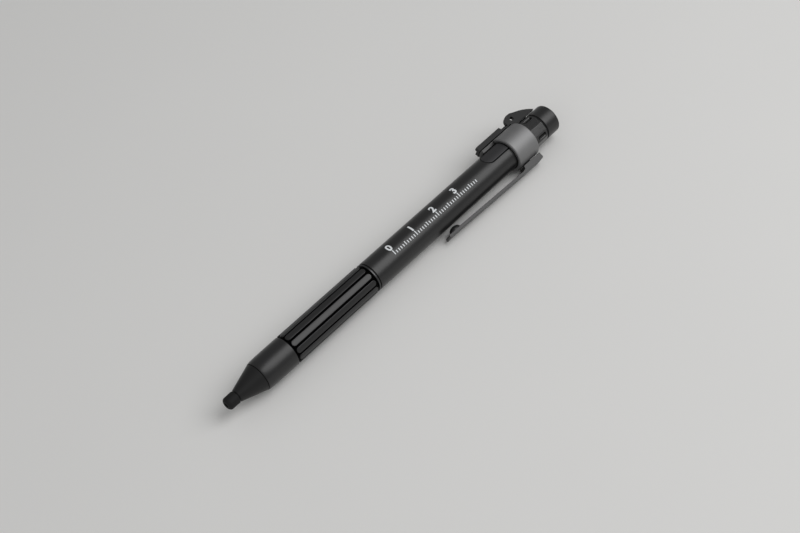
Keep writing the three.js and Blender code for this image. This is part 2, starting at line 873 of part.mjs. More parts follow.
// A folded leaf behind the lug, between the sleeve and the clip's web
function clipSpring() {
  const frontY = clipPinY + lugLength / 2 + slideFit;
  const rearY = clipRearY - slideFit;
  const lowS = sleeveR + slideFit;
  const highS = clipRootS - clipRootWeb - seatGap;
  const corners = [
    [lowS, rearY],
    [lowS, frontY],
    [highS, frontY],
    [highS, rearY],
    [highS - springLeaf, rearY],
    [highS - springLeaf, frontY + springLeaf],
    [lowS + springLeaf, frontY + springLeaf],
    [lowS + springLeaf, rearY],
  ];
  return plate(corners.reverse(), -lugHalfWidth, lugHalfWidth);
}

const openerSeatS = sleeveR + seatGap;
const openerFrontY = tongueFrontY + openerFrontInset;
const ledgeRearY = openerFrontY + ledgeLength;
const earFrontY = ledgeRearY + notchLength;
const earRearY = earFrontY + earLength;
const openerHalf = openerThickness / 2;
const saddleTopS = openerSeatS + saddleThickness;

// The opener: a ledge, a notch and an ear with a hole, on a saddle that hugs the band
function bottleOpener() {
  const ledgeS = openerSeatS + ledgeHeight;
  const earS = sleeveR + earHeight;
  const earInnerS = barrelR + earInnerGap;
  const earTail = earTailShares.map(([height, length]) => [
    earInnerS + (earS - earInnerS) * height,
    earFrontY + earLength * length,
  ]);
  const corners = [
    [openerSeatS, openerFrontY],
    [ledgeS - ledgeChamfer, openerFrontY],
    [ledgeS, openerFrontY + ledgeChamfer],
    [ledgeS, ledgeRearY - notchSlant],
    [ledgeS - notchDepth, ledgeRearY],
    [ledgeS - notchDepth, earFrontY],
    ...arc(earS - earCorner, earFrontY + earCorner, earCorner, -90, 0),
    ...earTail,
    [earInnerS, earRearY],
    [earInnerS, barrelRearY + seatGap],
    [openerSeatS, barrelRearY + seatGap],
  ];
  const holeS = sleeveR + earHoleHeight;
  const hole = crossShaft(
    holeS,
    earFrontY + earHoleBehind,
    earHoleR,
    -openerHalf - cutOver,
    openerHalf + cutOver,
    smallFlats,
  );
  const saddle = plate(
    box(sleeveR / 2, saddleTopS, openerFrontY, barrelRearY - saddleRearInset),
    0,
    openerHalf + saddleWidth,
  );
  const bed = disc(openerSeatS, openerFrontY - cutOver, barrelRearY + cutOver, outerFlats);
  const rivetTools = rivetYs.map((y) =>
    radialShaft(rivetW, y, rivetR + rivetHoleGap, sleeveR - cutOver, saddleTopS + cutOver, smallFlats));
  return cut(join(plate(corners, -openerHalf, openerHalf), cut(saddle, bed)), hole, ...rivetTools);
}

function openerRivet(y) {
  const footS = barrelR + seatGap;
  const headS = saddleTopS + slideFit;
  return join(
    radialShaft(rivetW, y, rivetR, footS, headS + rivetHeadHeight / 2, smallFlats),
    radialShaft(rivetW, y, rivetHeadR, headS, headS + rivetHeadHeight, smallFlats),
  );
}

// The faceted collar, with a spigot in the barrel in front and the cap's thread behind
function collar() {
  const cornerR = collarFlatR / Math.cos(Math.PI / collarFlats);
  const facets = arc(0, 0, cornerR, collarFirstCorner, collarFirstCorner + 360, collarFlats).slice(0, -1);
  const round = lathe([
    [0, collarFrontY],
    [collarRoundR - collarChamfer, collarFrontY],
    [collarRoundR, collarFrontY + collarChamfer],
    [collarRoundR, collarRearY - collarChamfer],
    [collarRoundR - collarChamfer, collarRearY],
    [0, collarRearY],
  ], outerFlats);
  const body = common(prism(facets, collarFrontY, collarRearY), round);
  const spigots = lathe([
    [0, barrelRearY - collarSpigotLength],
    [spigotOuterR, barrelRearY - collarSpigotLength],
    [spigotOuterR, collarFrontY + collarChamfer],
    [threadOuterR, collarFrontY + collarChamfer],
    [threadOuterR, collarThreadY],
    [0, collarThreadY],
  ], innerFlats);
  const frontBore = disc(spigotInnerR, barrelRearY - collarSpigotLength - cutOver, ledgeInY, innerFlats);
  const rearBore = disc(spigotInnerR, collarRearY, collarThreadY + cutOver, innerFlats);
  const neck = disc(ledgeInR, ledgeInY - cutOver, collarRearY + cutOver, innerFlats);
  const slotRearY = collarRearY - collarSlotFromRear;
  const slotCorners = slotOutline(collarSlotHalfWidth, slotRearY - collarSlotLength, slotRearY);
  const slots = [];
  for (let i = 0; i < collarSlotCount; i += 1) {
    const tool = boss(slotCorners, collarFlatR - collarSlotDepth, collarRoundR + cutOver);
    slots.push(atAngle(tool, collarSlotAngle + (360 * i) / collarSlotCount));
  }
  return cut(join(body, spigots), frontBore, rearBore, neck, ...slots);
}

function capSeal() {
  const meanR = threadOuterR + sealLift + sealR;
  const midY = collarRearY + sealSpace / 2;
  return lathe(arc(meanR, midY, sealR, 0, 360, 6).slice(0, -1), outerFlats / 2);
}

const lensSeatY = capRearY - capLip;
const lensRearY = lensSeatY - lensGap;
const lensFrontY = lensRearY - lensThickness;
const lensR = lensBoreR - slideFit;

function tailCap() {
  const socketR = threadOuterR + capThreadGap;
  const shoulderY = capFrontY + capShoulder;
  return lathe([
    [socketR, capFrontY],
    [barrelR, capFrontY],
    ...arc(barrelR - capRound, capRearY - capRound, capRound, 0, 90),
    [capMouthR, capRearY],
    [capMouthR, lensSeatY],
    [lensBoreR, lensSeatY],
    [lensBoreR, shoulderY],
    [socketR, shoulderY],
  ], outerFlats);
}

function lens() {
  return lathe([
    [0, lensFrontY],
    [lensR, lensFrontY],
    [lensR, lensRearY - lensDome],
    [capMouthR - slideFit, lensRearY - lensDome],
    [capMouthR / 2, lensRearY - lensDome / 4],
    [0, lensRearY],
  ], innerFlats);
}

// A thin cup round the light, with a rim under the lens
function reflector() {
  const rimRearY = lensFrontY - lensGap;
  const rimFrontY = rimRearY - reflectorRim;
  const frontY = rimRearY - reflectorLength;
  const mouthR = spigotInnerR - slideFit - reflectorWall;
  const depths = [0, 0.25, 0.55, 1];
  const inner = depths.map((share) => [
    reflectorThroatR + (mouthR - reflectorThroatR) * Math.sqrt(share),
    frontY + reflectorLength * share,
  ]);
  const outer = depths.slice(0, -1).map((share) => [
    reflectorThroatR + reflectorWall + (mouthR - reflectorThroatR) * Math.sqrt(share),
    frontY + reflectorLength * share,
  ]);
  return lathe([
    ...outer,
    [mouthR + reflectorWall, rimFrontY],
    [lensR, rimFrontY],
    [lensR, rimRearY],
    ...inner.reverse(),
  ], innerFlats);
}

// Writing end
add('stylus_tip', stylusTip(), 'rubberBlack');
add('nose_cone', noseCone(), 'satinBlack');
add('grip_barrel', gripBarrel(), 'satinBlack');
add('trim_ring', trimRing(), 'greyTrim');
add('twist_cam', twistCam(), 'brass');

// Refill
add('writing_ball', writingBall(), 'springSteel');
add('refill_tip', refillTip(), 'brass');
add('refill_tube', refillTube(), 'springSteel');
add('refill_plug', refillPlug(), 'innerPlastic');
add('cam_follower', camFollower(), 'innerPlastic');
add('follower_pin', followerPin(), 'springSteel');
const springFrontY = springSeatY + trimGap;
const springRearY = refillFlangeY - trimGap;
const refillCoil = coil(
  'refill_spring',
  refillSpringR,
  refillWireR,
  refillCurls,
  springFrontY,
  springRearY,
);
add('refill_spring', refillCoil, 'springSteel');

// Barrel and what it holds
add('barrel', barrel(), 'satinBlack');
const bushFrontY = barrelFrontY + seatGap;
const bush = ring(bushInnerR, bushOuterR, bushFrontY, bushFrontY + bushLength, innerFlats);
add('twist_bush', bush, 'innerPlastic');
add('cam_guide', camGuide(), 'innerPlastic');
add('bulkhead', disc(bushOuterR, bulkheadFrontY, bulkheadRearY, innerFlats), 'innerPlastic');
const batteryCoil = coil(
  'battery_spring',
  batterySpringR,
  batteryWireR,
  batteryCurls,
  bulkheadRearY + trimGap,
  cellsFrontY - trimGap,
);
add('battery_spring', batteryCoil, 'springSteel');
for (let i = 0; i < cellCount; i += 1) {
  const frontY = cellsFrontY + i * cellPitch;
  const cell = lathe([
    [0, frontY],
    [cellPoleR, frontY],
    [cellPoleR, frontY + cellPoleHeight],
    [cellR, frontY + cellPoleHeight],
    [cellR, frontY + cellLength],
    [0, frontY + cellLength],
  ], innerFlats);
  add(`cell_${i + 1}`, cell, 'springSteel');
}
const contactRearY = contactFrontY + contactPlateLength;
add('contact_plate', ring(contactHoleR, cellR, contactFrontY, contactRearY, innerFlats), 'brass');

// Torch and its button
const buttonSide = turned(buttonAngle);
add('torch_button', torchButton(), 'mattBlack', buttonSide);
add('torch_carrier', torchCarrier(), 'innerPlastic', buttonSide);
add('circuit_board', circuitBoard(), 'board', buttonSide);
add('switch_body', switchBody(), 'mattBlack', buttonSide);
add('switch_stem', switchStem(), 'innerPlastic', buttonSide);
add('led_board', disc(spigotInnerR - slideFit, ledBoardFrontY, ledBoardRearY, innerFlats), 'board');
add('led', led(), 'ledYellow');

// Band, clip and opener
add('clip_sleeve', clipSleeve(), 'polished');
const clipSide = turned(clipAngle);
add('clip', clip(), 'darkPlate', clipSide);
add('clip_pin', clipPin(), 'springSteel', clipSide);
add('clip_spring', clipSpring(), 'springSteel', clipSide);
const openerSide = turned(openerAngle);
add('bottle_opener', bottleOpener(), 'darkPlate', openerSide);
rivetYs.forEach((y, i) => add(`opener_rivet_${i + 1}`, openerRivet(y), 'springSteel', openerSide));

// Tail
add('collar', collar(), 'glossBlack');
add('cap_seal', capSeal(), 'rubberBlack');
add('tail_cap', tailCap(), 'satinBlack');
add('reflector', reflector(), 'polished');
add('lens', lens(), 'clearLens');

// The part's origin is the middle of its footprint, on the surface that it lies on
const bounds = new THREE.Box3().setFromObject(pen, true);
const middle = bounds.getCenter(new THREE.Vector3());
pen.position.set(-middle.x, -middle.y, -bounds.min.z);
const part = new THREE.Group();
part.add(pen);

export default part;
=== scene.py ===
import json
import math

import bpy
from bpy.props import FloatProperty, FloatVectorProperty, IntProperty, PointerProperty
from mathutils import Matrix, Vector


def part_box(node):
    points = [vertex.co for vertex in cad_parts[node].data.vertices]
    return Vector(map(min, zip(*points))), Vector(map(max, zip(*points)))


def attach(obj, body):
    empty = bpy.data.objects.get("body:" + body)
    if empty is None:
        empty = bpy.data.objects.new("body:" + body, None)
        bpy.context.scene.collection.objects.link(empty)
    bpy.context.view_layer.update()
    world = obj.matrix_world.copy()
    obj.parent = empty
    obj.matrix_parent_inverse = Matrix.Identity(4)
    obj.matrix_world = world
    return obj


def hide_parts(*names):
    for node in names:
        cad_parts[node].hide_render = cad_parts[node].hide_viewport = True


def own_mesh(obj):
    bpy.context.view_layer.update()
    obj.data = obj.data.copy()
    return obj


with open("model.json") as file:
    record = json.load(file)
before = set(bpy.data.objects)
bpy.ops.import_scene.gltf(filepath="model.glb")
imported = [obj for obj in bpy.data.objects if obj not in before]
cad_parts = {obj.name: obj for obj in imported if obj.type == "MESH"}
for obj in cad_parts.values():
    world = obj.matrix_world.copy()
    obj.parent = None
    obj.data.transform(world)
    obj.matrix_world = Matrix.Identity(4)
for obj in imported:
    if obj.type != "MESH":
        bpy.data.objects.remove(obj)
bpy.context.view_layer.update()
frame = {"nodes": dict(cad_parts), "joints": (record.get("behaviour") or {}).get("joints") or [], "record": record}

bl_info = {
    "name": "Multi tool pen",
    "version": (1, 0, 0),
    "blender": (4, 5, 0),
    "location": "View3D > Sidebar > Pen",
    "description": "Dresses a pen with a stylus nub, torch, clip and bottle opener",
    "category": "Object",
}

MM = 0.001
DEGREE = math.pi / 180

# Counts: sides of round pieces, steps of arcs and roundings, strips across half a pad
ROUND_SIDES = 144
FINE_SIDES = 48
ARC_STEPS = 8
FINE_ARC = 2 * ARC_STEPS
EDGE_STEPS = 3
RIVET_STEPS = 5
AWAY_STEPS = 12
PAD_STRIPS = 4

# Small sizes: how far a cutter overshoots, gaps, strips to bend, and points that are one
CUT_OVER = 1 * MM
SEAT_GAP = 0.3 * MM
SLIDE_FIT = 0.15 * MM
STRIP = 0.3 * MM
MERGE = 0.0005 * MM

# How sharp an edge has to be to be rounded or kept hard
FACET_ANGLE = 20 * DEGREE
EDGE_ANGLE = 24 * DEGREE
PLATE_ANGLE = 30 * DEGREE
SMOOTH_ANGLE = 34 * DEGREE
TIP_ANGLE = 40 * DEGREE
ROUND_ANGLE = 60 * DEGREE

# Shares: the layer at a flat piece's top that counts as its face, the sliced part of a pad,
# a rivet's rounding, a digit of its type size, and how deep under a pad's top and under
# a flat the painted shade of a recess begins
TOP_LAYER = 0.1
PAD_SLICED = 0.8
RIVET_ROUND = 0.9
DIGIT_SHARE = 0.7
GRIP_PAINTED_SHADE_BELOW = 0.8
SLOT_PAINTED_SHADE_BELOW = 0.25
NOISE_ROUGHNESS = 0.55

# A thread's crest lies between these parts of a turn, and the lug's top turns by these degrees
CREST_PARTS = (3, 2)
LUG_TURN = 60

# Which marks of the scale are longer
NUMBER_EVERY = 10
MIDDLE_EVERY = 5

BARREL_LOW, BARREL_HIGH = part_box("barrel")
AXIS_X = (BARREL_LOW.x + BARREL_HIGH.x) / 2
AXIS_Z = (BARREL_LOW.z + BARREL_HIGH.z) / 2
BARREL_R = (BARREL_HIGH.x - BARREL_LOW.x) / 2


def span(node):
    """Where a node starts and ends along the pen."""
    low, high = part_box(node)
    return low.y, high.y


def radius_of(node):
    """The outer radius of a round node."""
    low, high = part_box(node)
    return (high.x - low.x) / 2


def length(name, description, millimetres):
    """A size that a user can change, given in millimetres and kept in metres."""
    return FloatProperty(
        name=name, description=description, default=millimetres * MM, unit="LENGTH", precision=5
    )


def angle(name, description, degrees):
    """A direction round the pen's axis, from +X towards +Z."""
    return FloatProperty(
        name=name, description=description, default=degrees * DEGREE, subtype="ANGLE"
    )


def colour(name, description, value):
    """A linear surface colour."""
    return FloatVectorProperty(
        name=name, description=description, default=value, size=3, min=0, max=1, subtype="COLOR"
    )


def place(name, description, point):
    """A point in the scene, in metres."""
    settings = {"size": 3, "unit": "LENGTH", "subtype": "TRANSLATION"}
    return FloatVectorProperty(name=name, description=description, default=point, **settings)


class StylusSizes(bpy.types.PropertyGroup):
    front_round: length("Front round", "Rounding of the nub's front edge", 1.1)
    hole: length("Hole", "Radius of the hole that the ball point comes through", 0.85)
    bore: length("Bore", "Radius inside, over the cone's nipple", 1.75)
    front_wall: length("Front wall", "Thickness of the rubber in front", 0.9)
    edge: length("Edge", "Rounding of the nub's other edges", 0.08)


class ConeSizes(bpy.types.PropertyGroup):
    groove: length("Groove", "Width of the dark ring between nub and cone", 0.4)
    front_radius: length("Front radius", "Radius of the cone's front end", 2.12)
    front_round: length("Front round", "Rounding of the cone's front edge", 0.2)
    nipple: length("Nipple", "Radius of the stem inside the nub", 1.6)
    bore: length("Bore", "Radius of the hole for the refill", 1.1)
    spigot: length("Spigot", "Radius of the stem inside the grip", 3.9)
    crease: length("Crease", "Width of the line between cone and grip", 0.15)
    edge: length("Edge", "Rounding of the cone's edges", 0.09)


class GripSizes(bpy.types.PropertyGroup):
    step: length("Step", "How far the grip stands above the cone", 0.08)
    shoulder: length("Shoulder", "Length of the rounded shoulder", 4.2)
    wall: length("Wall", "Thickness of the grip's wall", 1.05)
    lip: length("Lip", "Length of the thin lip behind the grip", 0.55)
    lip_depth: length("Lip depth", "How deep the lip lies below the barrel's face", 0.5)
    pad_length: length("Pad length", "Length of one raised pad", 33.6)
    pad_height: length("Pad height", "Height of the pads above the slots", 0.45)
    pad_gap: length("Pad gap", "Width of the slots between the pads", 0.7)
    pad_margin: length("Pad margin", "Bare rim behind the pads", 0.15)
    pad_edge: length("Pad edge", "Rounding of a pad's top edge", 0.13)
    pad_root: length("Pad root", "How deep a pad is set into the grip", 0.1)
    edge: length("Edge", "Rounding of the grip's edges", 0.08)
    pad_count: IntProperty(name="Pads", description="Number of pads", default=12, min=3)
    first_slot: angle("First slot", "Direction of the first slot", 13)


class BarrelSizes(bpy.types.PropertyGroup):
    wall: length("Wall", "Thickness of the barrel's wall", 0.8)
    lip: length("Lip", "Length of the thin lip in front of the barrel", 0.35)
    trim_bore: length("Trim bore", "Radius of the hole in the trim ring", 3.65)
    edge: length("Edge", "Rounding of the barrel's ends", 0.1)


class PrintSizes(bpy.types.PropertyGroup):
    start: length("Start", "Place of the first mark behind the barrel's front", 9.15)
    pitch: length("Pitch", "Distance from mark to mark", 1)
    count: IntProperty(name="Marks", description="Number of spaces in the scale", default=38)
    from_angle: angle("From", "Direction of the scale's base", 53)
    short: length("Short mark", "Length of a millimetre mark", 0.95)
    middle: length("Middle mark", "Length of a five millimetre mark", 1.3)
    tall: length("Tall mark", "Length of a centimetre mark", 1.65)
    line: length("Line", "Width of a mark", 0.3)
    digit: length("Digit", "Height of the numbers", 2.4)
    digit_lift: length("Digit lift", "Bare strip between marks and numbers", 0.3)
    digit_weight: length("Digit weight", "How much bolder the numbers are drawn", 0.12)
    ink: length("Ink", "Thickness of the print", 0.02)


class ButtonSizes(bpy.types.PropertyGroup):
    direction: angle("Direction", "Where the button sits round the barrel", 97)
    half_width: length("Half width", "Half of the button's width", 2.53)
    length: length("Length", "Length of the button", 9.65)
    gap: length("Gap", "Width of the gap round the button", 0.2)
    proud: length("Proud", "How far the button stands above the barrel", 0.12)
    edge: length("Edge", "Rounding of the button's rim", 0.22)
    root: length("Root", "How deep the button reaches into the barrel", 1.5)
    flange: length("Flange", "Thickness of the flange inside the barrel", 0.65)
    flange_front: length("Flange front", "Reach of the flange in front of the button", 1.1)
    flange_rear: length("Flange rear", "Reach of the flange behind the button", 1.35)
    flange_half: angle("Flange half", "Half of the flange's turn round the bore", 47)


class SleeveSizes(bpy.types.PropertyGroup):
    length: length("Length", "Length of the full band", 9.6)
    tongue_from: angle("Tongue from", "Direction of the tongue's first edge", 141)
    tongue_to: angle("Tongue to", "Direction of the tongue's other edge", 210)
    edge: length("Edge", "Rounding of the tongue's and the lug's edges", 0.16)
    lip: length("Lip", "Rounding of the band's front and rear rims", 0.55)
    lug_half: length("Lug half", "Half of the clip lug's thickness", 1)
    lug_length: length("Lug length", "Length of the clip lug along the pen", 2.4)
    lug_round: length("Lug round", "Rounding of the lug's top", 0.75)


class ClipSizes(bpy.types.PropertyGroup):
    direction: angle("Direction", "Where the clip sits round the barrel", -30)
    half_width: length("Half width", "Half of the clip's width", 2)
    bar: length("Bar", "Thickness of the bar", 0.9)
    length: length("Length", "Length of the whole clip", 45)
    root_length: length("Root length", "Length of the block at the band", 8.15)
    root_height: length("Root height", "Outer face of the block above the band", 2.4)
    root_lift: length("Root lift", "Under side of the block above the band", 0.25)
    root_web: length("Root web", "Thickness of the block's top", 0.5)
    root_wall: length("Root wall", "Thickness of the block's front wall", 1)
    root_lean: length("Root lean", "How far the block's front wall leans back", 0.3)
    foot_height: length("Foot height", "Outer face of the foot above the band", 1.55)
    corner: length("Corner", "Rounding of the clip's rear corner", 0.6)
    bead_length: length("Bead length", "Length of the bead at the foot", 4.5)
    bead_depth: length("Bead depth", "Depth of the bead", 1.45)
    bead_half: length("Bead half", "Half of the bead's width", 1.6)
    bead_from_end: length("Bead from end", "Bare foot in front of the bead", 1.7)
    nib: length("Nib", "Radius of the bar's round end", 0.55)
    haunch_length: length("Haunch length", "Length of the bar's thicker end at the block", 1.2)
    haunch_depth: length("Haunch depth", "How much thicker that end is", 0.3)
    pin_from_rear: length("Pin place", "Pin's place in front of the band's rear edge", 3.65)
    pin_height: length("Pin height", "Pin's height above the band", 0.7)
    pin: length("Pin", "Radius of the pin", 0.3)
    pin_gap: length("Pin gap", "Clearance round the pin", 0.15)
    pin_edge: length("Pin edge", "Rounding of the pin's ends", 0.07)
    overrun: length("Overrun", "Reach of the clip behind its pin", 2.85)
    edge: length("Edge", "Rounding of the clip's edges", 0.16)


class OpenerSizes(bpy.types.PropertyGroup):
    direction: angle("Direction", "Where the opener stands round the band", 156)
    thickness: length("Thickness", "Thickness of the plate", 1.6)
    seat: length("Seat", "Gap between plate and band", 0.3)
    ledge_length: length("Ledge length", "Length of the ledge", 11.8)
    ledge_height: length("Ledge height", "Height of the ledge", 1.65)
    notch_length: length("Notch length", "Length of the notch", 2.6)
    notch_depth: length("Notch depth", "Depth of the notch", 1.35)
    notch_slant: length("Notch slant", "Slant of the notch's front", 0.5)
    ear_length: length("Ear length", "Length of the ear", 11.4)
    ear_height: length("Ear height", "Height of the ear above the band", 3.35)
    ear_corner: length("Ear corner", "Rounding of the ear's front", 2.2)
    ear_gap: length("Ear gap", "Gap between ear and collar", 0.35)
    hole: length("Hole", "Radius of the hole in the ear", 0.7)
    hole_behind: length("Hole behind", "Hole's place behind the ear's front", 2.9)
    hole_height: length("Hole height", "Hole's height above the band", 1.45)
    saddle_width: length("Saddle width", "Reach of the saddle beside the plate", 1.8)
    saddle_thickness: length("Saddle thickness", "Thickness of the saddle", 0.95)
    rivet: length("Rivet", "Radius of a rivet's head", 0.8)
    rivet_shank: length("Rivet shank", "Radius of a rivet's shank", 0.5)
    rivet_dome: length("Rivet dome", "Height of a rivet's head", 0.3)
    rivet_side: length("Rivet side", "Rivets' place beside the plate", 0.9)
    rivet_front: length("Rivet front", "First rivet's place behind the front edge", 3)
    rivet_rear: length("Rivet rear", "Last rivet's place in front of the rear edge", 3.8)
    edge: length("Edge", "Rounding of the plate's edges", 0.14)


class CollarSizes(bpy.types.PropertyGroup):
    length: length("Length", "Length of the faceted ring", 5.65)
    flats: IntProperty(name="Flats", description="Number of flats", default=12, min=6)
    flat_radius: length("Flat radius", "Distance of a flat from the axis", 4.97)
    first_corner: angle("First corner", "Direction of the first corner", -1)
    edge: length("Edge", "Rounding of the ring's edges", 0.09)
    overlap: length("Overlap", "How far the stem reaches into the ring", 0.15)
    spigot: length("Spigot", "Radius of the stem inside the barrel", 4.05)
    spigot_wall: length("Spigot wall", "Wall of that stem", 0.6)
    thread: length("Thread", "Radius of the thread under the cap", 4.25)
    thread_pitch: length("Thread pitch", "Distance from turn to turn", 0.6)
    thread_depth: length("Thread depth", "Depth of the thread", 0.14)
    neck: length("Neck", "Radius of the inner neck", 2.6)
    neck_length: length("Neck length", "Length of the inner neck", 0.4)
    slot_count: IntProperty(name="Slots", description="Number of slots", default=4)
    slot_first: angle("First slot", "Direction of the first slot", 14)
    slot_half: length("Slot half", "Half of a slot's width", 0.75)
    slot_length: length("Slot length", "Length of a slot", 3.9)
    slot_from_rear: length("Slot place", "Bare ring behind the slots", 0.42)
    slot_depth: length("Slot depth", "Depth of a slot", 0.6)
    slot_flare: length("Slot flare", "How much wider a slot is on each side at its top", 0.45)


class CapSizes(bpy.types.PropertyGroup):
    round: length("Round", "Rounding of the far rim", 0.6)
    mouth: length("Mouth", "Radius of the torch's opening", 3.3)
    lip: length("Lip", "Thickness of the rim over the lens", 0.8)
    lens_bore: length("Lens bore", "Radius of the lens seat", 3.9)
    shoulder: length("Shoulder", "Depth of the threaded socket", 2.9)
    socket: length("Socket", "Radius of the threaded socket", 4.45)
    seal: length("Seal", "Radius of the seal's cord", 0.28)
    edge: length("Edge", "Rounding of the cap's front edge", 0.12)


class TorchSizes(bpy.types.PropertyGroup):
    dome: length("Dome", "Rise of the lens", 0.15)
    rim: length("Rim", "Thickness of the reflector's rim", 0.3)
    wall: length("Wall", "Thickness of the reflector", 0.22)
    throat: length("Throat", "Radius of the reflector's throat", 1.65)
    bowl: length("Bowl", "Inner radius of the reflector's mouth", 3.08)
    light: length("Light", "Radius of the light's dome", 1.25)
    light_base: length("Light base", "Thickness of the light's flange", 0.4)


class RefillSizes(bpy.types.PropertyGroup):
    mouth: length("Mouth", "Radius of the tip's end", 0.46)
    needle: length("Needle", "Radius of the tip's thin part", 0.62)
    taper: length("Taper", "Length of the tip's taper", 2.5)
    needle_length: length("Needle length", "Length of the tip's thin part", 3.3)
    shoulder: length("Shoulder", "Length of the tip's shoulder", 1.5)
    body: length("Body", "Length of the tip's full width", 1)
    socket: length("Socket", "Radius of the hole round the ball", 0.38)
    stem: length("Stem", "Radius of the stem inside the tube", 0.77)
    ball_gap: length("Ball gap", "Room behind the ball", 0.08)
    edge: length("Edge", "Rounding of the tip's edges", 0.03)


class FinishColours(bpy.types.PropertyGroup):
    black: colour("Satin black", "Barrel, cone, grip and cap", (0.011, 0.011, 0.0113))
    gloss: colour("Gloss black", "Collar", (0.009, 0.009, 0.0094))
    plate: colour("Plate black", "Clip and opener", (0.012, 0.012, 0.0123))
    button: colour("Button black", "Torch button", (0.017, 0.017, 0.0185))
    rubber: colour("Rubber black", "Nub and seal", (0.005, 0.005, 0.0052))
    band: colour("Band", "Satin band", (0.28, 0.28, 0.282))
    trim: colour("Trim", "Thin ring at the joint", (0.08, 0.08, 0.082))
    steel: colour("Steel", "Pins, springs and rivets", (0.4, 0.405, 0.41))
    brass: colour("Brass", "Cam, refill tip and contacts", (0.5, 0.32, 0.1))
    plastic: colour("Inner plastic", "Guides, carrier and plug", (0.68, 0.66, 0.6))
    board: colour("Board", "Circuit boards", (0.012, 0.1, 0.04))
    light: colour("Light", "Phosphor of the torch's light", (0.85, 0.72, 0.2))
    lens: colour("Lens", "Clear lens", (0.95, 0.97, 1.0))
    ink: colour("Ink", "Printed scale", (0.78, 0.81, 0.83))
    floor: colour("Floor", "Plain pale floor", (0.8, 0.797, 0.785))


class StageSizes(bpy.types.PropertyGroup):
    camera: place("Camera", "Place of the camera", (0.238496, -0.19528, 0.335282))
    aim: place("Aim", "Point that the camera looks at", (0.004908, -0.004204, 0.00635))
    roll: angle("Roll", "Turn of the camera about its own axis", -10.948)
    lens: FloatProperty(name="Lens", description="Focal length in mm", default=65.763)
    sensor: FloatProperty(name="Sensor", description="Width of the sensor in mm", default=36)
    floor: FloatProperty(name="Floor", description="Width of the floor", default=6, unit="LENGTH")


SIZE_GROUPS = {
    "pen_stylus": StylusSizes,
    "pen_cone": ConeSizes,
    "pen_grip": GripSizes,
    "pen_barrel": BarrelSizes,
    "pen_print": PrintSizes,
    "pen_button": ButtonSizes,
    "pen_sleeve": SleeveSizes,
    "pen_clip": ClipSizes,
    "pen_opener": OpenerSizes,
    "pen_collar": CollarSizes,
    "pen_cap": CapSizes,
    "pen_torch": TorchSizes,
    "pen_refill": RefillSizes,
    "pen_colours": FinishColours,
    "pen_stage": StageSizes,
}


# Shader nodes
MIX_FACTOR, MIX_FIRST, MIX_SECOND, MIX_COLOUR = 0, 6, 7, 2
TURNING_LINES = (0.02, 1, 0.02)
LENGTHWISE_LINES = (1, 0.03, 1)
BOARD_TRACKS = (1, 0.06, 1)


class Flow:
    """A node's output that takes part in sums."""

    def __init__(self, finish, socket):
        self.finish = finish
        self.socket = socket

    def maths(self, operation, other):
        return self.finish.node("ShaderNodeMath", {"operation": operation}, {0: self, 1: other})

    def __add__(self, other):
        return self.maths("ADD", other)

    def __mul__(self, other):
        return self.maths("MULTIPLY", other)

    def __gt__(self, other):
        return self.maths("GREATER_THAN", other)

    def __lt__(self, other):
        return self.maths("LESS_THAN", other)

    __radd__ = __add__
    __rmul__ = __mul__


class Finish:
    """One material: a principled shader and the nodes that feed it."""

    def __init__(self, name):
        self.material = bpy.data.materials.new(name)
        self.material.use_nodes = True
        self.tree = self.material.node_tree
        self.tree.nodes.clear()
        self.shader = self.add("ShaderNodeBsdfPrincipled")
        surface = Flow(self, self.shader.outputs[0])
        self.add("ShaderNodeOutputMaterial", sockets={"Surface": surface})

    def set_socket(self, node, name, value):
        """Links a flow to a node's socket, or writes a plain value there."""
        if isinstance(value, Flow):
            self.tree.links.new(value.socket, node.inputs[name])
        else:
            node.inputs[name].default_value = value

    def add(self, kind, settings=None, sockets=None):
        """Adds a node, with its settings first and then its sockets."""
        made = self.tree.nodes.new(kind)
        for name, value in (settings or {}).items():
            setattr(made, name, value)
        for name, value in (sockets or {}).items():
            self.set_socket(made, name, value)
        return made

    def node(self, kind, settings=None, sockets=None, output=0):
        """Adds a node and gives one of its outputs."""
        return Flow(self, self.add(kind, settings, sockets).outputs[output])

    def paint(self, sockets):
        """Sets the shader's own sockets and gives the material."""
        for name, value in sockets.items():
            self.set_socket(self.shader, name, value)
        return self.material

    def coordinates(self):
        return self.node("ShaderNodeTexCoord", output="Object")

    def noise(self, scale, detail=3.0, stretch=(1, 1, 1)):
        """Soft noise with so many blobs to a millimetre."""
        millimetres = tuple(share / MM for share in stretch)
        place = self.node(
            "ShaderNodeMapping", sockets={"Vector": self.coordinates(), "Scale": millimetres}
        )
        sockets = {"Vector": place, "Scale": scale, "Detail": detail, "Roughness": NOISE_ROUGHNESS}
        return self.node("ShaderNodeTexNoise", sockets=sockets, output="Fac")

    def axis_distance(self):
        """Distance from the pen's axis, in metres."""
        kind = "ShaderNodeVectorMath"
        flat = self.node(kind, {"operation": "MULTIPLY"}, {0: self.coordinates(), 1: (1, 0, 1)})
        sockets = {0: flat, 1: (AXIS_X, 0, AXIS_Z)}
        return self.node(kind, {"operation": "DISTANCE"}, sockets, output="Value")

    def blend(self, factor, first, second):
        """Mixes two colours."""
        sockets = {MIX_FACTOR: factor, MIX_FIRST: first, MIX_SECOND: second}
        return self.node("ShaderNodeMix", {"data_type": "RGBA"}, sockets, output=MIX_COLOUR)

    def tone(self, factor, shade, dark, light):
        """A colour that wanders between a darker and a lighter share of itself."""
        return self.blend(factor, rgba(shade, dark), rgba(shade, light))

    def bump(self, height, depth, strength=0.5):
        """Turns a height in shares of a depth, in metres, into a surface normal."""
        sockets = {"Height": height, "Distance": depth, "Strength": strength}
        return self.node("ShaderNodeBump", sockets=sockets)


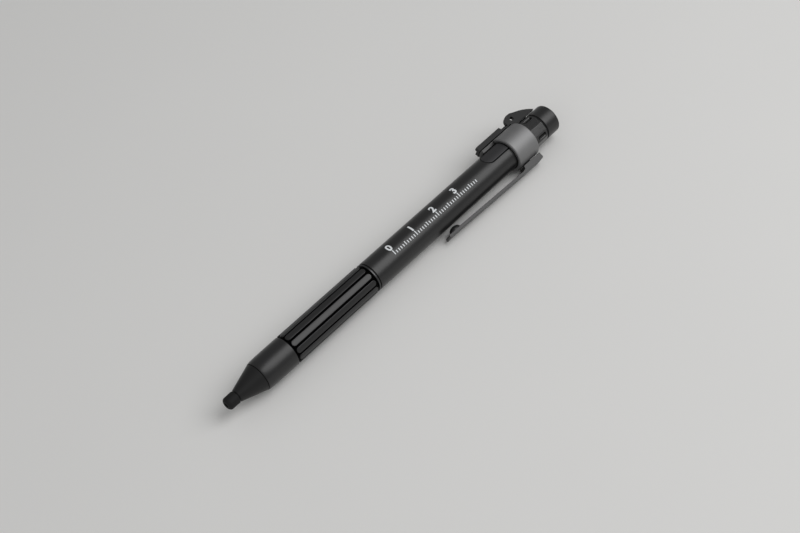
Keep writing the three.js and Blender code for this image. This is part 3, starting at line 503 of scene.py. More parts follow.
def rgba(shade, factor=1.0):
    """A linear colour with its alpha, made lighter or darker by a factor."""
    return (*(channel * factor for channel in shade), 1.0)


def coated_metal(name, shade, roughness, grain=7.0, coat=0.0, specular=0.5, floor=None):
    """A black coat on metal: fine grain, faint turning lines and a few dull smudges.

    Nearer to the axis than the floor, as at the bottom of a slot, it carries painted shade: a dull near-black
    metal.
    """
    finish = Finish(name)
    speckle = finish.noise(grain, detail=4.0)
    smudge = finish.noise(0.12, detail=2.0)
    lines = finish.noise(3.5, detail=2.0, stretch=TURNING_LINES)
    face = finish.tone(speckle, shade, dark=0.8, light=1.25)
    matt = roughness - 0.06 + speckle * 0.05 + smudge * 0.07
    low = 0.0
    # Painted shade: below the floor radius the recess turns near-black and dull
    if floor:
        low = finish.axis_distance() < floor
        face = finish.blend(low, face, rgba(shade, 0.2))
        matt = matt + low * 0.35
    return finish.paint({
        "Base Color": face,
        "Metallic": low,
        "Roughness": matt,
        "Normal": finish.bump(speckle * 0.7 + lines * 0.3, depth=0.008 * MM),
        "Specular IOR Level": specular,
        "Coat Weight": coat,
        "Coat Roughness": roughness / 2,
    })


def black_rubber(name, shade):
    """Dull rubber with a fine pebbled face."""
    finish = Finish(name)
    pebble = finish.noise(11.0)
    dust = finish.noise(0.9, detail=4.0)
    return finish.paint({
        "Base Color": finish.tone(dust, shade, dark=0.8, light=1.5),
        "Roughness": 0.62 + pebble * 0.18,
        "Normal": finish.bump(pebble, depth=0.02 * MM, strength=0.6),
        "Specular IOR Level": 0.3,
    })


def streaked_plastic(name, shade):
    """Matt moulded plastic with fine lengthwise lines."""
    finish = Finish(name)
    streaks = finish.noise(5.0, detail=2.0, stretch=LENGTHWISE_LINES)
    grain = finish.noise(14.0, detail=2.0)
    return finish.paint({
        "Base Color": finish.tone(streaks, shade, dark=0.75, light=1.35),
        "Roughness": 0.5 + streaks * 0.14,
        "Normal": finish.bump(streaks * 0.75 + grain * 0.25, depth=0.03 * MM, strength=0.6),
    })


def polished_metal(name, shade, roughness):
    """Bright metal with faint hairlines round the pen and soft wiping marks."""
    finish = Finish(name)
    hairlines = finish.noise(9.0, stretch=TURNING_LINES)
    wiping = finish.noise(0.35)
    return finish.paint({
        "Base Color": finish.tone(wiping, shade, dark=0.92, light=1.06),
        "Metallic": 1.0,
        "Roughness": roughness + hairlines * 0.05 + wiping * 0.06,
        "Normal": finish.bump(hairlines, depth=0.004 * MM),
    })


def moulded_plastic(name, shade):
    """Plain moulded plastic with a fine spark-eroded grain."""
    finish = Finish(name)
    grain = finish.noise(6.0)
    flow = finish.noise(0.25, detail=2.0)
    return finish.paint({
        "Base Color": finish.tone(flow, shade, dark=0.93, light=1.05),
        "Roughness": 0.45 + grain * 0.12,
        "Normal": finish.bump(grain, depth=0.01 * MM),
    })


def circuit_board(name, shade):
    """Green board with lighter tracks along it."""
    finish = Finish(name)
    weave = finish.noise(4.0, detail=2.0)
    tracks = finish.noise(0.8, detail=0.0, stretch=BOARD_TRACKS) > 0.53
    return finish.paint({
        "Base Color": finish.tone(tracks, shade, dark=0.8, light=1.7),
        "Roughness": 0.35 + weave * 0.15,
        "Normal": finish.bump(tracks, depth=0.03 * MM, strength=0.7),
    })


def clear_lens(name, shade):
    """Clear moulded plastic with a few faint flow marks."""
    finish = Finish(name)
    flow = finish.noise(0.5, detail=2.0)
    return finish.paint({
        "Base Color": rgba(shade),
        "Roughness": 0.02 + flow * 0.04,
        "Transmission Weight": 1.0,
        "IOR": 1.49,
    })


def phosphor(name, shade):
    """Clear dome over speckled yellow phosphor."""
    finish = Finish(name)
    specks = finish.noise(8.0)
    return finish.paint({
        "Base Color": finish.tone(specks, shade, dark=0.85, light=1.1),
        "Roughness": 0.12 + specks * 0.08,
        "Coat Weight": 1.0,
    })


def printed_ink(name, shade):
    """Screen-printed white ink, a little thin in places."""
    finish = Finish(name)
    thin = finish.noise(9.0, detail=4.0)
    return finish.paint({
        "Base Color": finish.tone(thin, shade, dark=0.86, light=1.1),
        "Roughness": 0.45 + thin * 0.1,
        "Normal": finish.bump(thin, depth=0.005 * MM),
    })


def plain_floor(name, shade):
    """Matt floor that hardly changes from place to place."""
    finish = Finish(name)
    cloud = finish.noise(0.01, detail=2.0)
    return finish.paint({
        "Base Color": finish.tone(cloud, shade, dark=0.985, light=1.015),
        "Roughness": 0.85,
        "Specular IOR Level": 0.2,
    })


def make_finishes(scene):
    """Every material, by its slot in the record or by the finish that a piece is dressed with."""
    colours, grip, collar = scene.pen_colours, scene.pen_grip, scene.pen_collar
    # Radii below which the grip's pad gaps and the collar's slots get painted shade
    grip_shade_radius = radius_of("grip_barrel") - grip.pad_height * GRIP_PAINTED_SHADE_BELOW
    slot_shade_radius = collar.flat_radius - collar.slot_depth * SLOT_PAINTED_SHADE_BELOW
    return {
        "satin_black": coated_metal("Satin black", colours.black, 0.36),
        "grip_black": coated_metal("Grip black", colours.black, 0.36, floor=grip_shade_radius),
        "gloss_black": coated_metal(
            "Gloss black", colours.gloss, 0.24, grain=9.0, coat=0.2, floor=slot_shade_radius
        ),
        "cone_black": coated_metal("Cone black", colours.black, 0.44, specular=0.3),
        "dark_plate": coated_metal("Plate black", colours.plate, 0.33),
        "matt_plate": coated_metal("Opener black", colours.plate, 0.52, specular=0.3),
        "nub_rubber": black_rubber("Nub rubber", colours.rubber),
        "button_matt": streaked_plastic("Button", colours.button),
        "polished_band": polished_metal("Polished band", colours.band, 0.56),
        "grey_trim": polished_metal("Grey trim", colours.trim, 0.3),
        "spring_steel": polished_metal("Spring steel", colours.steel, 0.25),
        "cell_steel": polished_metal("Cell steel", colours.steel, 0.22),
        "brass": polished_metal("Brass", colours.brass, 0.24),
        "inner_plastic": moulded_plastic("Inner plastic", colours.plastic),
        "board_green": circuit_board("Circuit board", colours.board),
        "led_lens": phosphor("Torch light", colours.light),
        "clear_lens": clear_lens("Clear lens", colours.lens),
        "print_white": printed_ink("Printed scale", colours.ink),
        "pale_floor": plain_floor("Floor", colours.floor),
    }


FINISHES = {}
SLOTS = {part["node"]: part["material_slot"] for part in frame["record"]["subparts"]}
BODIES = {
    node: body for body, nodes in frame["record"]["behaviour"]["bodies"].items() for node in nodes
}


# Modelling
def mode(name):
    bpy.ops.object.mode_set(mode=name)


def clear_selection():
    """Back to object mode with nothing selected."""
    if bpy.context.object and bpy.context.object.mode != "OBJECT":
        mode("OBJECT")
    bpy.ops.object.select_all(action="DESELECT")


def work_on(piece):
    """Makes one piece the only selected and active one."""
    clear_selection()
    piece.select_set(True)
    bpy.context.view_layer.objects.active = piece


def edit_all(piece):
    """Opens a piece in edit mode with everything selected."""
    work_on(piece)
    mode("EDIT")
    bpy.ops.mesh.select_all(action="SELECT")


def spot(outward, along, side=0.0, direction=0.0):
    """A point given outwards from the axis, along the pen and sideways, at a direction round it."""
    cosine, sine = math.cos(direction), math.sin(direction)
    return Vector(
        (AXIS_X + outward * cosine - side * sine, along, AXIS_Z + outward * sine + side * cosine)
    )


def arc(centre_a, centre_b, radius, start, end, steps=ARC_STEPS):
    """Points along an arc, from one angle to another in degrees."""
    points = []
    for i in range(steps + 1):
        turn = (start + (end - start) * i / steps) * DEGREE
        points.append((centre_a + radius * math.cos(turn), centre_b + radius * math.sin(turn)))
    return points


def circle(centre_a, centre_b, radius, steps=FINE_SIDES):
    """Points round a whole circle."""
    return arc(centre_a, centre_b, radius, 0, 360, steps)[:-1]


def stepped(start, steps, end):
    """A turned profile with square steps, each a place along the pen and the radius behind it."""
    radius, profile = start, []
    for along, next_radius in steps:
        profile += [(radius, along), (next_radius, along)]
        radius = next_radius
    return profile + [(radius, end), (start, end)]


def extrude(offset):
    bpy.ops.mesh.extrude_region_move(TRANSFORM_OT_translate={"value": tuple(offset)})


def close_end(distance):
    """Pulls the selected ring along the pen and draws it together to a point."""
    extrude((0, distance, 0))
    bpy.ops.mesh.merge(type="CENTER")


def select_ends(piece, count, last):
    """Selects the first and, if asked, the last vertices of a piece that is in edit mode."""
    bpy.ops.mesh.select_all(action="DESELECT")
    mode("OBJECT")
    vertices = list(piece.data.vertices)
    for vertex in vertices[:count] + (vertices[-count:] if last else []):
        vertex.select = True
    mode("EDIT")


def turned(name, profile, sides=ROUND_SIDES):
    """Turns (radius, along) points about the pen's axis. A zero radius closes an end."""
    points = list(profile)
    front_pole = points.pop(0)[1] if points[0][0] == 0 else None
    rear_pole = points.pop()[1] if points[-1][0] == 0 else None
    radius, along = points[0]
    clear_selection()
    bpy.ops.mesh.primitive_circle_add(
        vertices=sides, radius=radius, location=(0, 0, 0), rotation=(math.pi / 2, 0, 0)
    )
    piece = bpy.context.object
    piece.name = name
    bpy.ops.object.transform_apply()
    edit_all(piece)
    bpy.ops.transform.translate(value=(AXIS_X, along, AXIS_Z))
    for next_radius, next_along in points[1:]:
        extrude((0, next_along - along, 0))
        grow = next_radius / radius
        radius, along = next_radius, next_along
        bpy.ops.transform.resize(value=(grow, 1, grow), center_override=(AXIS_X, along, AXIS_Z))
    if rear_pole is not None:
        close_end(rear_pole - along)
    if front_pole is not None:
        select_ends(piece, sides, last=False)
        close_end(front_pole - points[0][1])
    if front_pole is None and rear_pole is None:
        select_ends(piece, sides, last=True)
        bpy.ops.mesh.bridge_edge_loops()
    face_out(piece)
    return piece


def face_out(piece):
    """Points every face of a closed piece outwards."""
    edit_all(piece)
    bpy.ops.mesh.remove_doubles(threshold=MERGE)
    bpy.ops.mesh.normals_make_consistent(inside=False)
    mode("OBJECT")


def blank(name, corners, pull):
    """Cuts a flat blank to an outline of points and pulls it to its thickness."""
    clear_selection()
    bpy.ops.mesh.primitive_circle_add(vertices=len(corners), fill_type="NGON", location=(0, 0, 0))
    piece = bpy.context.object
    piece.name = name
    for vertex, corner in zip(piece.data.vertices, corners):
        vertex.co = corner
    edit_all(piece)
    extrude(pull)
    face_out(piece)
    return piece


def plate(name, outline, half_width, direction):
    """A blank with its outline in a plane of the axis, as (outward, along), thick to both sides."""
    corners = [spot(out, along, -half_width, direction) for out, along in outline]
    sideways = Vector((-math.sin(direction), 0, math.cos(direction)))
    return blank(name, corners, sideways * 2 * half_width)


def boss(name, outline, low, high, direction):
    """A blank with its outline seen from outside, as (side, along), from one height to another."""
    corners = [spot(low, along, side, direction) for side, along in outline]
    outwards = Vector((math.cos(direction), 0, math.sin(direction)))
    return blank(name, corners, outwards * (high - low))


def slab(name, outline, depth):
    """A flat blank of (side, along) points with its top at height zero, which wrap can bend."""
    return blank(name, [(side, along, -depth) for side, along in outline], (0, 0, depth))


def slot_outline(half_width, front, rear, steps=ARC_STEPS):
    """A slot with round ends, as (side, along)."""
    front_end = arc(0, front + half_width, half_width, 180, 360, steps)
    return front_end + arc(0, rear - half_width, half_width, 0, 180, steps)


def modify(piece, kind, **settings):
    """Gives a piece a modifier and applies it."""
    modifier = piece.modifiers.new(kind.title(), kind)
    for name, value in settings.items():
        setattr(modifier, name, value)
    work_on(piece)
    bpy.ops.object.modifier_apply(modifier=modifier.name)


def combine(piece, tool, operation="DIFFERENCE"):
    """Cuts a tool out of a piece, or joins it on, and deletes the tool."""
    modify(piece, "BOOLEAN", solver="EXACT", operation=operation, object=tool)
    bpy.data.objects.remove(tool)


def join(pieces):
    """Makes one object of several."""
    work_on(pieces[0])
    for piece in pieces:
        piece.select_set(True)
    bpy.ops.object.join()
    return pieces[0]


def shade(piece, limit=SMOOTH_ANGLE):
    """Smooth shading that leans on the large faces."""
    work_on(piece)
    bpy.ops.object.shade_smooth_by_angle(angle=limit)
    modify(piece, "WEIGHTED_NORMAL", keep_sharp=True)


def soften(piece, width, limit=EDGE_ANGLE, steps=EDGE_STEPS):
    """Rounds every sharp edge a little and shades the rest smooth."""
    round_off = {"width": width, "segments": steps, "angle_limit": limit}
    modify(piece, "BEVEL", limit_method="ANGLE", miter_outer="MITER_ARC", **round_off)
    shade(piece)


def round_rim(piece, width):
    """Rounds the rim of the top face of a flat piece whose top lies at height zero."""
    edit_all(piece)
    bpy.ops.mesh.select_all(action="DESELECT")
    mode("OBJECT")
    for vertex in piece.data.vertices:
        vertex.select = vertex.co.z > -width * TOP_LAYER
    mode("EDIT")
    bpy.ops.mesh.bevel(offset=width, segments=EDGE_STEPS, affect="EDGES")
    mode("OBJECT")


def slice_across(piece, step, reach):
    """Cuts a flat piece into lengthwise strips, so that it can be bent round the barrel."""
    edit_all(piece)
    for i in range(-int(reach / step), int(reach / step) + 1):
        bpy.ops.mesh.select_all(action="SELECT")
        bpy.ops.mesh.bisect(plane_co=(i * step, 0, 0), plane_no=(1, 0, 0))
    mode("OBJECT")


def wrap(piece, radius, direction):
    """Bends a flat piece round the axis: x runs round it, y along it and z is the height."""
    for vertex in piece.data.vertices:
        side, along, height = vertex.co
        vertex.co = spot(radius + height, along, 0, direction + side / radius)
    face_out(piece)


def coat(piece, finish):
    """Gives a piece one material in place of what it had."""
    piece.data.materials.clear()
    piece.data.materials.append(FINISHES[finish])


def dress(piece, node, finish=None):
    """Gives a finished piece the material, body and slot of the node that it stands for."""
    coat(piece, finish or SLOTS[node])
    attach(piece, BODIES[node])
    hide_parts(node)


class PenOperator:
    """What every modelling step of the pen shares."""

    bl_options = {"REGISTER", "UNDO"}


class PEN_OT_finishes(PenOperator, bpy.types.Operator):
    """Makes the materials and puts them on the inner pieces"""

    bl_idname = "pen.finishes"
    bl_label = "Finishes"

    def execute(self, context):
        FINISHES.update(make_finishes(context.scene))
        for name, node in frame["nodes"].items():
            coat(node, SLOTS[name])
        return {"FINISHED"}


class PEN_OT_stylus_tip(PenOperator, bpy.types.Operator):
    """Models the rounded rubber nub"""

    bl_idname = "pen.stylus_tip"
    bl_label = "Stylus nub"

    def execute(self, context):
        sizes = context.scene.pen_stylus
        front, rear = span("stylus_tip")
        radius = radius_of("stylus_tip")
        rounding = sizes.front_round
        wall_rear = front + sizes.front_wall
        profile = [
            (sizes.hole, front),
            *arc(radius - rounding, front + rounding, rounding, -90, 0),
            (radius, rear),
            (sizes.bore, rear),
            (sizes.bore, wall_rear),
            (sizes.hole, wall_rear),
        ]
        nub = turned("nub", profile)
        soften(nub, sizes.edge)
        dress(nub, "stylus_tip")
        return {"FINISHED"}


class PEN_OT_nose_cone(PenOperator, bpy.types.Operator):
    """Models the straight cone behind the nub"""

    bl_idname = "pen.nose_cone"
    bl_label = "Nose cone"

    def execute(self, context):
        sizes = context.scene.pen_cone
        nipple_front, spigot_rear = span("nose_cone")
        front = span("stylus_tip")[1] + sizes.groove
        crease = span("grip_barrel")[0] - sizes.crease
        profile = [
            (sizes.bore, nipple_front),
            (sizes.nipple, nipple_front),
            (sizes.nipple, front),
            (sizes.front_radius - sizes.front_round, front),
            (sizes.front_radius, front + sizes.front_round),
            (radius_of("nose_cone"), crease),
            (sizes.spigot, crease),
            (sizes.spigot, spigot_rear),
            (sizes.bore, spigot_rear),
        ]
        cone = turned("cone", profile)
        soften(cone, sizes.edge, FACET_ANGLE)
        dress(cone, "nose_cone", "cone_black")
        return {"FINISHED"}


class PEN_OT_grip(PenOperator, bpy.types.Operator):
    """Models the grip: a convex shoulder, then long raised pads with round ends"""

    bl_idname = "pen.grip"
    bl_label = "Grip"

    def execute(self, context):
        sizes = context.scene.pen_grip
        front, lip_rear = span("grip_barrel")
        radius = radius_of("grip_barrel")
        rear = lip_rear - sizes.lip
        bore = radius - sizes.wall
        root = radius - sizes.pad_height
        front_radius = radius_of("nose_cone") + sizes.step
        lip_radius = BARREL_R - sizes.lip_depth
        pad_rear = rear - sizes.pad_margin
        pad_front = pad_rear - sizes.pad_length
        shoulder = [
            (front_radius + (radius - front_radius) * b, front + sizes.shoulder * (1 + a))
            for a, b in arc(0, 0, 1, 180, 90, FINE_ARC)
        ]
        profile = [
            (bore, front),
            *shoulder,
            (radius, pad_front - sizes.pad_gap),
            (root, pad_front - sizes.pad_gap),
            (root, rear),
            (lip_radius, rear),
            (lip_radius, lip_rear),
            (bore, lip_rear),
        ]
        grip = turned("grip", profile)
        soften(grip, sizes.edge)
        pitch = 2 * math.pi / sizes.pad_count
        half = radius * math.sin(pitch / 2) - sizes.pad_gap / 2
        outline = slot_outline(half, pad_front, pad_rear)
        model = slab("pad", outline, sizes.pad_height + sizes.pad_root)
        round_rim(model, sizes.pad_edge)
        slice_across(model, half / PAD_STRIPS, half * PAD_SLICED)
        pads = []
        for i in range(sizes.pad_count):
            pad = model.copy()
            pad.data = model.data.copy()
            context.collection.objects.link(pad)
            wrap(pad, radius, sizes.first_slot + pitch * (i + 0.5))
            pads.append(pad)
        bpy.data.objects.remove(model)
        combine(grip, join(pads), "UNION")
        shade(grip)
        dress(grip, "grip_barrel", "grip_black")
        return {"FINISHED"}


class PEN_OT_trim_ring(PenOperator, bpy.types.Operator):
    """Models the thin bright ring at the joint"""

    bl_idname = "pen.trim_ring"
    bl_label = "Trim ring"

    def execute(self, context):
        sizes = context.scene.pen_barrel
        front, rear = span("trim_ring")
        ring = turned("trim", stepped(sizes.trim_bore, [(front, radius_of("trim_ring"))], rear))
        soften(ring, sizes.edge)
        dress(ring, "trim_ring")
        return {"FINISHED"}


def button_place(context):
    """Front and rear of the torch button, against the band."""
    sizes = context.scene.pen_button
    rear = span("clip_sleeve")[1] - context.scene.pen_sleeve.length - sizes.gap
    return rear - sizes.length, rear


def button_outline(sizes, front, rear, margin):
    """The button seen from outside: round in front, square behind."""
    half = sizes.half_width + margin
    round_end = arc(0, front + sizes.half_width, half, 180, 360, 3 * ARC_STEPS)
    return round_end + [(half, rear + margin), (-half, rear + margin)]


class PEN_OT_barrel(PenOperator, bpy.types.Operator):
    """Models the barrel with the button's slot"""

    bl_idname = "pen.barrel"
    bl_label = "Barrel"

    def execute(self, context):
        sizes = context.scene.pen_barrel
        button = context.scene.pen_button
        lip_front, rear = span("barrel")
        lip_radius = BARREL_R - context.scene.pen_grip.lip_depth
        steps = [(lip_front, lip_radius), (lip_front + sizes.lip, BARREL_R)]
        barrel = turned("tube", stepped(BARREL_R - sizes.wall, steps, rear))
        soften(barrel, sizes.edge)
        outline = button_outline(button, *button_place(context), button.gap)
        combine(barrel, boss("slot", outline, 0, BARREL_R + CUT_OVER, button.direction))
        shade(barrel)
        dress(barrel, "barrel")
        return {"FINISHED"}


class PEN_OT_printed_scale(PenOperator, bpy.types.Operator):
    """Prints a plain ruler scale on the barrel"""

    bl_idname = "pen.printed_scale"
    bl_label = "Printed scale"

    def mark(self, along, height, line):
        """A flat stroke that stands on the scale's base."""
        clear_selection()
        bpy.ops.mesh.primitive_plane_add(size=1, location=(height / 2, along, 0))
        bpy.context.object.scale = (height, line, 1)
        bpy.ops.object.transform_apply()
        return bpy.context.object

    def digit(self, value, along, low, sizes):
        """A flat number, centred over its mark and read along the barrel."""
        clear_selection()
        bpy.ops.object.text_add(location=(0, 0, 0))
        text = bpy.context.object.data
        text.body = str(value)
        text.align_x = "CENTER"
        text.size = sizes.digit / DIGIT_SHARE
        text.offset = sizes.digit_weight
        bpy.ops.object.convert(target="MESH")
        number = bpy.context.object
        for vertex in number.data.vertices:
            across, up, _ = vertex.co
            vertex.co = (low + up, along + across, 0)
        return number

    def execute(self, context):
        sizes = context.scene.pen_print
        start = span("barrel")[0] + context.scene.pen_barrel.lip + sizes.start
        low = sizes.tall + sizes.digit_lift
        pieces = []
        for i in range(sizes.count + 1):
            along = start + i * sizes.pitch
            on_number, on_middle = i % NUMBER_EVERY == 0, i % MIDDLE_EVERY == 0
            height = sizes.tall if on_number else sizes.middle if on_middle else sizes.short
            pieces.append(self.mark(along, height, sizes.line))
            if on_number:
                pieces.append(self.digit(i // NUMBER_EVERY, along, low, sizes))
        scale = join(pieces)
        scale.name = "scale"
        slice_across(scale, STRIP, low + sizes.digit)
        edit_all(scale)
        extrude((0, 0, sizes.ink))
        mode("OBJECT")
        wrap(scale, BARREL_R, sizes.from_angle)
        shade(scale)
        coat(scale, "print_white")
        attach(scale, "barrel")
        return {"FINISHED"}


class PEN_OT_torch_button(PenOperator, bpy.types.Operator):
    """Models the torch button: round in front, square behind, on a flange inside the barrel"""

    bl_idname = "pen.torch_button"
    bl_label = "Torch button"

    def execute(self, context):
        sizes = context.scene.pen_button
        front, rear = button_place(context)
        button = slab("button", button_outline(sizes, front, rear, 0), sizes.root)
        round_rim(button, sizes.edge)
        slice_across(button, STRIP, sizes.half_width)
        wrap(button, BARREL_R + sizes.proud, sizes.direction)
        bore = BARREL_R - context.scene.pen_barrel.wall - SLIDE_FIT
        half = bore * sizes.flange_half
        front -= sizes.flange_front
        rear += sizes.flange_rear
        outline = [(-half, front), (half, front), (half, rear), (-half, rear)]
        flange = slab("flange", outline, sizes.flange)
        slice_across(flange, STRIP, half)
        wrap(flange, bore, sizes.direction)
        combine(button, flange, "UNION")
        shade(button)
        dress(button, "torch_button")
        return {"FINISHED"}


def band_radius():
    """Outer radius of the band, which is bare on its lowest side."""
    return AXIS_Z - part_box("clip_sleeve")[0].z


class PEN_OT_band(PenOperator, bpy.types.Operator):
    """Models the satin band with the clip's lug, and the black tongue in front of it"""

    bl_idname = "pen.band"
    bl_label = "Band"

    def execute(self, context):
        sizes = context.scene.pen_sleeve
        clip = context.scene.pen_clip
        front, rear = span("clip_sleeve")
        full_front = rear - sizes.length
        radius = band_radius()
        bore = BARREL_R + SLIDE_FIT
        lip = sizes.lip
        profile = [
            (bore, full_front),
            *arc(radius - lip, full_front + lip, lip, -90, 0),
            *arc(radius - lip, rear - lip, lip, 0, 90),
            (bore, rear),
        ]
        band = turned("band", profile)
        tongue = turned("tongue", stepped(bore, [(front, radius)], full_front))
        turn = 2 * math.pi - (sizes.tongue_to - sizes.tongue_from)
        away = [spot(0, front - CUT_OVER)] + [
            spot(2 * radius, front - CUT_OVER, 0, sizes.tongue_to + turn * i / AWAY_STEPS)
            for i in range(AWAY_STEPS + 1)
        ]
        combine(tongue, blank("away", away, (0, full_front - front + 2 * CUT_OVER, 0)))
        face_out(tongue)
        soften(tongue, sizes.edge, PLATE_ANGLE)
        dress(tongue, "clip_sleeve", "dark_plate")
        pin_along = rear - clip.pin_from_rear
        pin_out = radius + clip.pin_height
        half = sizes.lug_length / 2
        root = (radius + bore) / 2
        outline = [
            (root, pin_along - half),
            (pin_out, pin_along - half),
            *arc(pin_out, pin_along, sizes.lug_round, -LUG_TURN, LUG_TURN),
            (pin_out, pin_along + half),
            (root, pin_along + half),
        ]
        combine(band, plate("lug", outline, sizes.lug_half, clip.direction), "UNION")
        face_out(band)
        soften(band, sizes.edge, PLATE_ANGLE)
        dress(band, "clip_sleeve")
        return {"FINISHED"}


class PEN_OT_clip(PenOperator, bpy.types.Operator):
    """Models the sprung clip and its pin"""

    bl_idname = "pen.clip"
    bl_label = "Clip"

    def bead(self, sizes, outward, along):
        """The pressed bead under the foot: deep towards the barrel, shallow inside the bar."""
        clear_selection()
        bpy.ops.mesh.primitive_uv_sphere_add(
            segments=FINE_SIDES, ring_count=FINE_SIDES // 2, radius=1, location=(0, 0, 0)
        )
        dome = bpy.context.object
        for vertex in dome.data.vertices:
            inward, side, length_share = vertex.co
            depth = sizes.bead_depth if inward < 0 else sizes.bar / 2
            vertex.co = spot(
                outward + depth * inward,
                along + sizes.bead_length / 2 * length_share,
                sizes.bead_half * side,
                sizes.direction,
            )
        face_out(dome)
        return dome

    def execute(self, context):
        sizes = context.scene.pen_clip
        radius = band_radius()
        pin_along = span("clip_sleeve")[1] - sizes.pin_from_rear
        rear = pin_along + sizes.overrun
        front = rear - sizes.length
        root_front = rear - sizes.root_length
        root_out = radius + sizes.root_height
        bar_in = root_out - sizes.bar
        foot_out = radius + sizes.foot_height
        foot_in = foot_out - sizes.bar
        root_in = radius + sizes.root_lift
        bead_rear = front + sizes.bead_from_end + sizes.bead_length
        rise = (bar_in - foot_in) / (root_front - bead_rear)
        neck = math.acos(sizes.bar / 2 / sizes.nib) / DEGREE
        nib_out = foot_out - sizes.bar / 2
        outline = [
            (root_out, root_front),
            *arc(root_out - sizes.corner, rear - sizes.corner, sizes.corner, 0, 90),
            (root_in, rear),
            (root_in, root_front + sizes.root_lean),
            (bar_in - sizes.haunch_depth, root_front),
            (bar_in - rise * sizes.haunch_length, root_front - sizes.haunch_length),
            (foot_in, bead_rear),
            *arc(nib_out, front + sizes.nib, sizes.nib, 180 - neck, 360 + neck, FINE_ARC),
        ]
        clip = plate("clip_bar", outline, sizes.half_width, sizes.direction)
        web_in = root_out - sizes.root_web
        wall_rear, behind = root_front + sizes.root_wall, rear + CUT_OVER
        channel = [(0, wall_rear), (web_in, wall_rear), (web_in, behind), (0, behind)]
        lug_room = context.scene.pen_sleeve.lug_half + SEAT_GAP
        combine(clip, plate("channel", channel, lug_room, sizes.direction))
        face_out(clip)
        soften(clip, sizes.edge, PLATE_ANGLE)
        combine(clip, self.bead(sizes, foot_in, bead_rear - sizes.bead_length / 2), "UNION")
        face_out(clip)
        shade(clip)
        dress(clip, "clip")
        ends = circle(radius + sizes.pin_height, pin_along, sizes.pin)
        pin = plate("hinge_pin", ends, sizes.half_width - sizes.pin_gap / 2, sizes.direction)
        soften(pin, sizes.pin_edge, ROUND_ANGLE)
        dress(pin, "clip_pin")
        return {"FINISHED"}


# Height and length shares of the curve down the ear's tail
EAR_TAIL_SHARES = (
    (0.99, 0.32),
    (0.87, 0.42),
    (0.77, 0.52),
    (0.67, 0.62),
    (0.54, 0.72),
    (0.38, 0.82),
    (0.19, 0.92),
)


class PEN_OT_opener(PenOperator, bpy.types.Operator):
    """Models the bottle opener and its two rivets"""

    bl_idname = "pen.opener"
    bl_label = "Bottle opener"

    def rivet(self, sizes, node, along, head):
        """A domed head with its shank, beside the plate."""
        side = sizes.thickness / 2 + sizes.rivet_side
        dome = circle(side, along, sizes.rivet)
        rivet = boss("rivet", dome, head, head + sizes.rivet_dome, sizes.direction)
        soften(rivet, sizes.rivet_dome * RIVET_ROUND, ROUND_ANGLE, RIVET_STEPS)
        shank = circle(side, along, sizes.rivet_shank)
        foot, top = BARREL_R + SEAT_GAP, head + sizes.rivet_dome / 2
        combine(rivet, boss("stem", shank, foot, top, sizes.direction), "UNION")
        rivet.name = node.replace("opener_", "")
        shade(rivet)
        dress(rivet, node)

    def execute(self, context):
        sizes = context.scene.pen_opener
        radius = band_radius()
        front, rear = span("bottle_opener")
        band_rear = span("clip_sleeve")[1]
        seat = radius + sizes.seat
        ledge_out = seat + sizes.ledge_height
        ledge_rear = front + sizes.ledge_length
        notch_out = ledge_out - sizes.notch_depth
        ear_front = ledge_rear + sizes.notch_length
        ear_out = radius + sizes.ear_height
        ear_in = BARREL_R + sizes.ear_gap
        tail = [
            (ear_in + (ear_out - ear_in) * height, ear_front + sizes.ear_length * share)
            for height, share in EAR_TAIL_SHARES
        ]
        corner = sizes.ear_corner
        outline = [
            (seat, front),
            (ledge_out, front),
            (ledge_out, ledge_rear - sizes.notch_slant),
            (notch_out, ledge_rear),
            (notch_out, ear_front),
            *arc(ear_out - corner, ear_front + corner, corner, -90, 0),
            *tail,
            (ear_in, rear),
            (ear_in, band_rear + SEAT_GAP),
            (seat, band_rear + SEAT_GAP),
        ]
        half = sizes.thickness / 2
        opener = plate("opener", outline, half, sizes.direction)
        saddle_top = seat + sizes.saddle_thickness
        reach = half + sizes.saddle_width
        section = ((radius / 2, 0), (saddle_top, 0), (saddle_top, reach), (radius / 2, reach))
        corners = [spot(out, front, side, sizes.direction) for out, side in section]
        saddle = blank("saddle", corners, (0, band_rear - SEAT_GAP - front, 0))
        bed = stepped(0, [(front - CUT_OVER, seat)], rear + CUT_OVER)
        combine(saddle, turned("bed", bed))
        combine(opener, saddle, "UNION")
        hole = circle(radius + sizes.hole_height, ear_front + sizes.hole_behind, sizes.hole)
        combine(opener, plate("hole", hole, half + CUT_OVER, sizes.direction))
        face_out(opener)
        soften(opener, sizes.edge, PLATE_ANGLE)
        dress(opener, "bottle_opener", "matt_plate")
        head = saddle_top + SLIDE_FIT
        self.rivet(sizes, "opener_rivet_1", front + sizes.rivet_front, head)
        self.rivet(sizes, "opener_rivet_2", band_rear - sizes.rivet_rear, head)
        return {"FINISHED"}


